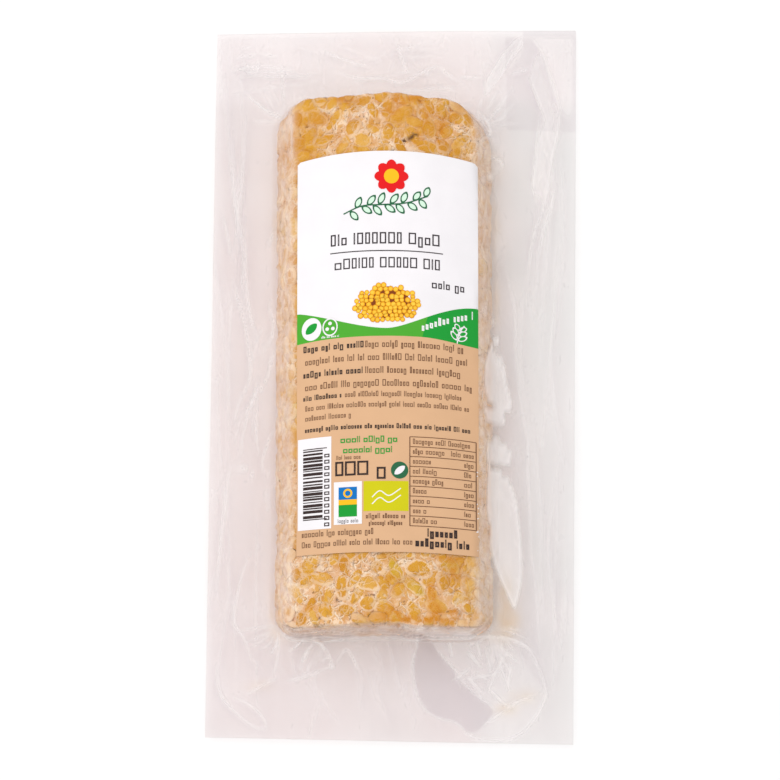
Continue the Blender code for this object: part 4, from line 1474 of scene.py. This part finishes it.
def print_heap(size, beans, shadow, rng):
    """A heap of round beans: rows that lie half a bean apart in turn, shaken a little, with a
    dark ground between the ones at the back."""
    v = np.linspace(88.8, 103.6, 12)
    u = np.array([-1.0, 1.0])[:, None] * heap_half_width(v) * 0.72
    loop_u = np.concatenate([u[1], u[0][::-1]])[None, :] * np.array([[0.5], [1.0]])
    loop_v = 96.0 + (np.concatenate([v, v[::-1]]) - 96.0)[None, :] * np.array([[0.5], [0.86]])
    shadow.loops(loop_u, loop_v)
    row = 0
    for height in np.arange(103.2, 89.0, -1.5):
        half = heap_half_width(height)
        for across in np.arange(-half + (row % 2) * 0.95, half, 1.95):
            place = (across + rng.normal(0, 0.22), height + rng.normal(0, 0.2))
            deep = rng.random() < 0.16 * eased((height - 93.5) / 3.0) * (abs(across) < 8.0)
            if not deep:
                shade = rng.uniform(-0.18, 0.12)
                beans.round(place, rng.uniform(0.92, 1.18), around=12, tone=np.array([1.0, 0.72, 0.1]) + shade)
        row += 1


def print_sprig(stem, leaf, pale):
    """A leafy sprig across the label: a curved stem with pointed leaves that lean from it."""
    stem.line([(-17.0, 131.5), (-10.0, 134.2), (-2.0, 134.6), (7.0, 135.4), (15.5, 138.6)], 0.5)
    for number in range(14):
        place = -14.5 + 2.2 * number
        height = float(np.interp(place, [-17, -10, -2, 7, 15.5], [131.5, 134.2, 134.6, 135.4, 138.6]))
        up = 1 if number % 2 else -1
        turn = math.radians(up * (58 if number % 4 < 2 else 44) + 8)
        reach = 5.4 - 0.10 * abs(number - 5)
        tip = (place + reach * math.cos(turn), height + reach * math.sin(turn))
        pale.leaf((place, height), tip, 2.7)
        leaf.leaf((place, height), tip, 2.7, hollow=0.66)


def print_table(size, ink, words, rng):
    """The table of nine rows at the right: its frame, its lines, and words at both ends."""
    left, right, foot, top, rows = 8.4, 33.8, 10.1, 44.4, 9
    for u in (left, right):
        ink.field((u - 0.18, u + 0.18), foot, top, (1, 30))
    for number in range(rows + 1):
        v = foot + (top - foot) * number / rows
        ink.field((left, right), v - 0.14, v + 0.14, (24, 1))
        if number == rows:
            break
        if number == rows - 1:
            words.words(rng, left + 1.2, right - 1.2, v + 1.1, 2.0)
        else:
            words.words(rng, left + 1.2, left + 1.2 + rng.uniform(3.5, 13.0), v + 1.1, 2.0)
            words.words(rng, right - 4.6 - 5.0 * (number == rows - 2), right - 0.7, v + 1.1, 2.0)


def print_bars(bars, digits, rng):
    """Bars that lie across, of random widths, as on any pack, and a column of blocks beside."""
    v = 13.4
    while v < 41.0:
        wide = rng.choice([0.38, 0.55, 0.8, 1.15])
        bars.field((-32.3, -23.2 if v < 14.0 or v > 40.3 else -24.8), v, v + wide, (4, 1))
        v += wide + rng.choice([0.26, 0.38, 0.55, 0.85])
    for low in np.arange(10.6, 39.6, 2.42):
        digits.box((-24.2, -22.2), low, low + 1.35 + 0.25 * rng.random(), 0.42)


def make_label(size, looks):
    """The label's paper, and its print as fields of colour and simple shapes on it. The layers lie
    a step apart, and no sign, name or picture is spelt or drawn in them."""
    half = size.label_half_width / MM - 0.1
    rng = np.random.default_rng(23)
    names = ("paper", "kraft", "green", "deep", "white", "brown", "ink", "title", "heading", "red", "yellow")
    layers = (0, 1, 2, 3, 4, 4, 5, 2, 5, 5, 6)
    prints = {name: Print(size, layer) for name, layer in zip(names, layers)}
    paper, kraft, green, deep, white, brown, ink, title, heading, red, yellow = prints.values()
    paper.field((-half, half), 0.0, lambda u: label_outline(size, u), (60, 100), PAPER_THICKNESS)
    kraft.field((-half, half), 0.0, lambda u: band_foot(u) + 0.4, (60, 60))
    green.field((-half, half), band_foot, band_top, (60, 6))
    deep.field((13.3, half), band_foot, right_band_start, (40, 6))
    lime, blue, mint, heap, shadow, sprig = (Print(size, layer) for layer in (3, 5, 2, 4, 3, 3))

    red.round((1.4, 145.8), 6.6, around=48, petals=8)
    yellow.round((1.4, 145.8), 2.9, around=20)
    print_sprig(sprig, sprig, mint)
    title.words(rng, -21.9, 21.0, 119.3, 4.5, 0.12, (0.40, 0.68), None, 0.75)
    title.words(rng, -20.4, 20.6, 109.9, 4.1, 0.12, (0.40, 0.66), None, 0.75)
    title.words(rng, 16.9, 30.4, 102.7, 3.3, 0.14, (0.40, 0.62))
    title.field((-22.1, 21.2), 116.35, 116.75, (24, 1))
    print_heap(size, heap, shadow, rng)

    white.round((-29.2, 87.9), 3.8, tall=1.17, around=32)
    heading.leaf((-31.4, 86.3), (-27.2, 89.9), 3.2)
    white.round((-22.1, 87.9), 2.95, 0.84, around=32, tall=1.2)
    for turn in (90, 210, 330):
        spot = (-22.1 + 1.25 * math.cos(math.radians(turn)), 87.9 + 1.4 * math.sin(math.radians(turn)))
        white.round(spot, 0.72, around=12)
    white.words(rng, -25.4, -18.6, 83.75, 0.9, 0.25)
    slope = (0.43, -0.0035)
    white.words(
        rng, 13.0, 33.9, 85.6, 3.1, 0.17, (0.24, 0.42), lambda u: slope[0] * (u - 12.8) + slope[1] * (u - 12.8) ** 2
    )
    white.line([(26.6, 82.2), (26.9, 84.5), (27.7, 87.0), (29.4, 89.6)], 0.4)
    for number in range(3):
        base = (26.7 + 0.45 * number, 83.4 + 2.0 * number)
        for side in (-1, 1):
            turn = math.radians(76 - side * 50)
            reach = 4.3 - 0.6 * number
            tip = (base[0] + reach * math.cos(turn), base[1] + reach * math.sin(turn))
            white.leaf(base, tip, 2.1, hollow=0.68)

    for bold_end, last, foot, height in (
        (-9.2, 29.6, 79.0, 2.5), (-32.2, 33.0, 74.0, 2.5), (-9.2, 28.6, 69.0, 2.5), (-32.2, 33.0, 64.0, 2.5),
        (-16.9, 28.8, 60.0, 2.0), (-32.1, 31.9, 56.0, 2.0), (-32.1, -13.0, 52.1, 2.0),
    ):
        if bold_end > -30:
            ink.words(rng, -32.3, bold_end, foot, height, 0.16)
        brown.words(rng, max(bold_end, -32.3) + 0.6, last, foot, height)
    ink.words(rng, -31.6, 31.9, 47.6, 1.9, 0.16)
    white.field((-34.3, -21.5), 9.7, 45.2, (6, 16))
    print_bars(ink, ink, rng)
    heading.words(rng, -18.0, 4.9, 42.3, 2.4, 0.16, (0.5, 0.8))
    heading.words(rng, -17.0, 3.9, 38.3, 2.4, 0.16, (0.5, 0.8))
    brown.words(rng, -19.6, -9.6, 35.9, 1.6)
    for first, last, low, high in ((-20.0, -16.9, 29.6, 35.1), (-16.3, -12.2, 29.6, 35.1), (-11.6, -7.4, 29.6, 35.1),
                                   (-4.2, -0.8, 28.0, 32.6)):
        ink.box((first, last), low, high, 0.72)
    sprig.round((4.5, 31.4), 3.3, around=32)
    white.leaf((2.6, 29.8), (6.5, 33.0), 2.4)
    white.field((-20.5, -9.8), 10.9, 27.3, (4, 6))
    blue.field((-18.7, -11.7), 20.4, 25.2, (3, 2))
    yellow.field((-18.7, -11.7), 18.4, 20.4, (3, 1))
    heading.field((-18.7, -11.7), 13.8, 18.4, (3, 2))
    yellow.round((-15.2, 22.8), 1.75, 0.6, around=20)
    ink.words(rng, -19.0, -11.2, 11.5, 1.5)
    lime.field((-9.2, 7.9), 15.7, 27.2, (8, 6))
    for drop in (0.0, 2.6):
        white.line([(-6.0, 21.0 - drop), (-3.0, 23.4 - drop), (0.5, 21.6 - drop), (5.0, 24.4 - drop)], 0.4)
    brown.words(rng, -8.3, 7.5, 12.9, 1.9, 0.15)
    brown.words(rng, -7.2, 6.3, 10.3, 1.7, 0.15)
    print_table(size, brown, brown, rng)
    brown.words(rng, -32.7, -5.2, 6.9, 2.3)
    brown.words(rng, -32.7, 9.6, 2.9, 2.2)
    ink.words(rng, 15.1, 28.3, 6.2, 3.2, 0.2, (0.36, 0.5))
    ink.words(rng, 10.5, 31.5, 2.3, 3.2, 0.2, (0.36, 0.5))

    finishes = {
        "label_paper": (paper, print_material("white_paper", looks.paper_white)),
        "label_kraft_field": (kraft, print_material("kraft_print", looks.kraft)),
        "label_green_band": (green, print_material("green_print", looks.leaf_green)),
        "label_deep_green": (deep, print_material("deep_green_print", looks.deep_green)),
        "label_white_print": (white, print_material("white_print", looks.paper_white)),
        "label_small_print": (brown, print_material("brown_print", looks.brown)),
        "label_bold_print": (ink, print_material("ink_print", looks.ink)),
        "label_title_print": (title, print_material("title_print", looks.title_ink)),
        "label_green_print": (heading, print_material("heading_print", looks.deep_green)),
        "label_red_blossom": (red, print_material("red_print", looks.red)),
        "label_yellow_print": (yellow, print_material("yellow_print", looks.yellow)),
        "label_lime_field": (lime, print_material("lime_print", looks.lime)),
        "label_blue_field": (blue, print_material("blue_print", looks.blue)),
        "label_pale_leaves": (mint, print_material("mint_print", looks.mint)),
        "label_sprig": (sprig, print_material("sprig_print", looks.sprig)),
        "label_heap_ground": (shadow, print_material("heap_ground_print", looks.heap_dark)),
        "label_bean_heap": (heap, heap_material(looks)),
    }
    made = [ink_print.piece(name, material) for name, (ink_print, material) in finishes.items()]
    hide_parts("label")
    return made


# ---------------------------------------------------------------- operators


class TEMPEH_OT_cake(bpy.types.Operator):
    """Makes the cake: its soybeans and the mycelium that binds them"""

    bl_idname = "tempeh_pack.cake"
    bl_label = "Make Cake"

    def execute(self, context):
        size, looks = context.scene.pack_sizes, context.scene.pack_looks
        for piece in (make_beans(size, looks), make_core(size, looks)):
            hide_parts("bag")
        return {"FINISHED"}


class TEMPEH_OT_film(bpy.types.Operator):
    """Makes the clear bag round the cake"""

    bl_idname = "tempeh_pack.film"
    bl_label = "Make Bag"

    def execute(self, context):
        film = make_film(context.scene.pack_sizes, context.scene.pack_looks)
        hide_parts("bag")
        return {"FINISHED"}


class TEMPEH_OT_label(bpy.types.Operator):
    """Makes the paper label and its print"""

    bl_idname = "tempeh_pack.label"
    bl_label = "Make Label"

    def execute(self, context):
        make_label(context.scene.pack_sizes, context.scene.pack_looks)
        return {"FINISHED"}


def area_light(name, place, target, width, height, power, mirrored=True):
    """A soft rectangular light at place, turned to target. It may be left out of reflections."""
    from mathutils import Vector

    data = bpy.data.lights.new(name, "AREA")
    data.shape, data.size, data.size_y = "RECTANGLE", width, height
    data.energy = power
    light = bpy.data.objects.new(name, data)
    light.location = place
    light.visible_glossy = mirrored
    light.rotation_euler = (Vector(target) - Vector(place)).to_track_quat("-Z", "Y").to_euler()
    bpy.context.scene.collection.objects.link(light)


class TEMPEH_OT_stage(bpy.types.Operator):
    """Makes the pale floor, the soft studio light and the camera"""

    bl_idname = "tempeh_pack.stage"
    bl_label = "Make Stage"

    def execute(self, context):
        from mathutils import Vector

        scene = context.scene
        material, tree, shader = new_material("studio_floor", Roughness=0.9)
        patchy, _ = mottle(tree, object_place(tree), 4.0, 30.0, 0.0, 1.0)
        link(tree, mix(tree, patchy, grey(0.90), grey(0.885)), shader, "Base Color")
        reach = 3.0
        mesh = bpy.data.meshes.new("studio_floor")
        corners = [(-reach, -reach, 0.0), (reach, -reach, 0.0), (reach, reach, 0.0), (-reach, reach, 0.0)]
        mesh.from_pydata(corners, [], [(0, 1, 2, 3)])
        mesh.materials.append(material)
        floor = bpy.data.objects.new("studio_floor", mesh)
        scene.collection.objects.link(floor)
        area_light("key", (-0.75, 0.35, 1.65), (0, 0, 0), 1.5, 1.5, 12.0, mirrored=False)
        area_light("glint", (-0.35, 1.25, 1.6), (0, 0, 0), 0.12, 0.12, 0.2)
        world = bpy.data.worlds.new("studio")
        world.use_nodes = True
        room = world.node_tree
        upward = add_node(room, "ShaderNodeSeparateXYZ", {0: add_node(room, "ShaderNodeTexCoord").outputs["Generated"]})
        sky = ramp(room, upward.outputs["Z"], (0.0, grey(0.66)), (0.35, grey(0.86)), (0.75, grey(0.97)))
        room.links.new(sky, room.nodes["Background"].inputs["Color"])
        scene.world = world
        scene.view_settings.view_transform = "Standard"
        camera_data = bpy.data.cameras.new("camera")
        camera_data.lens = 217.7
        camera = bpy.data.objects.new("camera", camera_data)
        target = Vector((-1.15 * MM, -7.9 * MM, 32 * MM))
        elevation, distance = math.radians(80.0), 1.8
        camera.location = target + distance * Vector((0, -math.cos(elevation), math.sin(elevation)))
        camera.rotation_euler = (target - camera.location).to_track_quat("-Z", "Y").to_euler()
        scene.collection.objects.link(camera)
        scene.camera = camera
        return {"FINISHED"}


class TEMPEH_PT_panel(bpy.types.Panel):
    """Lists the steps and their sizes in the sidebar"""

    bl_label = "Tempeh Pack"
    bl_space_type = "VIEW_3D"
    bl_region_type = "UI"
    bl_category = "Tempeh Pack"

    def draw(self, context):
        for operator in OPERATORS:
            self.layout.operator(operator.bl_idname)
        for group in (context.scene.pack_sizes, context.scene.pack_looks):
            column = self.layout.column()
            for name in group.__annotations__:
                column.prop(group, name)


OPERATORS = (TEMPEH_OT_cake, TEMPEH_OT_film, TEMPEH_OT_label, TEMPEH_OT_stage)
CLASSES = (PackSizes, PackLooks, *OPERATORS, TEMPEH_PT_panel)


def register():
    for item in CLASSES:
        bpy.utils.register_class(item)
    bpy.types.Scene.pack_sizes = PointerProperty(type=PackSizes)
    bpy.types.Scene.pack_looks = PointerProperty(type=PackLooks)


def unregister():
    del bpy.types.Scene.pack_looks
    del bpy.types.Scene.pack_sizes
    for item in reversed(CLASSES):
        bpy.utils.unregister_class(item)


def main():
    register()
    bpy.ops.tempeh_pack.cake()
    bpy.ops.tempeh_pack.film()
    bpy.ops.tempeh_pack.label()
    bpy.ops.tempeh_pack.stage()


if __name__ == "__main__":
    main()
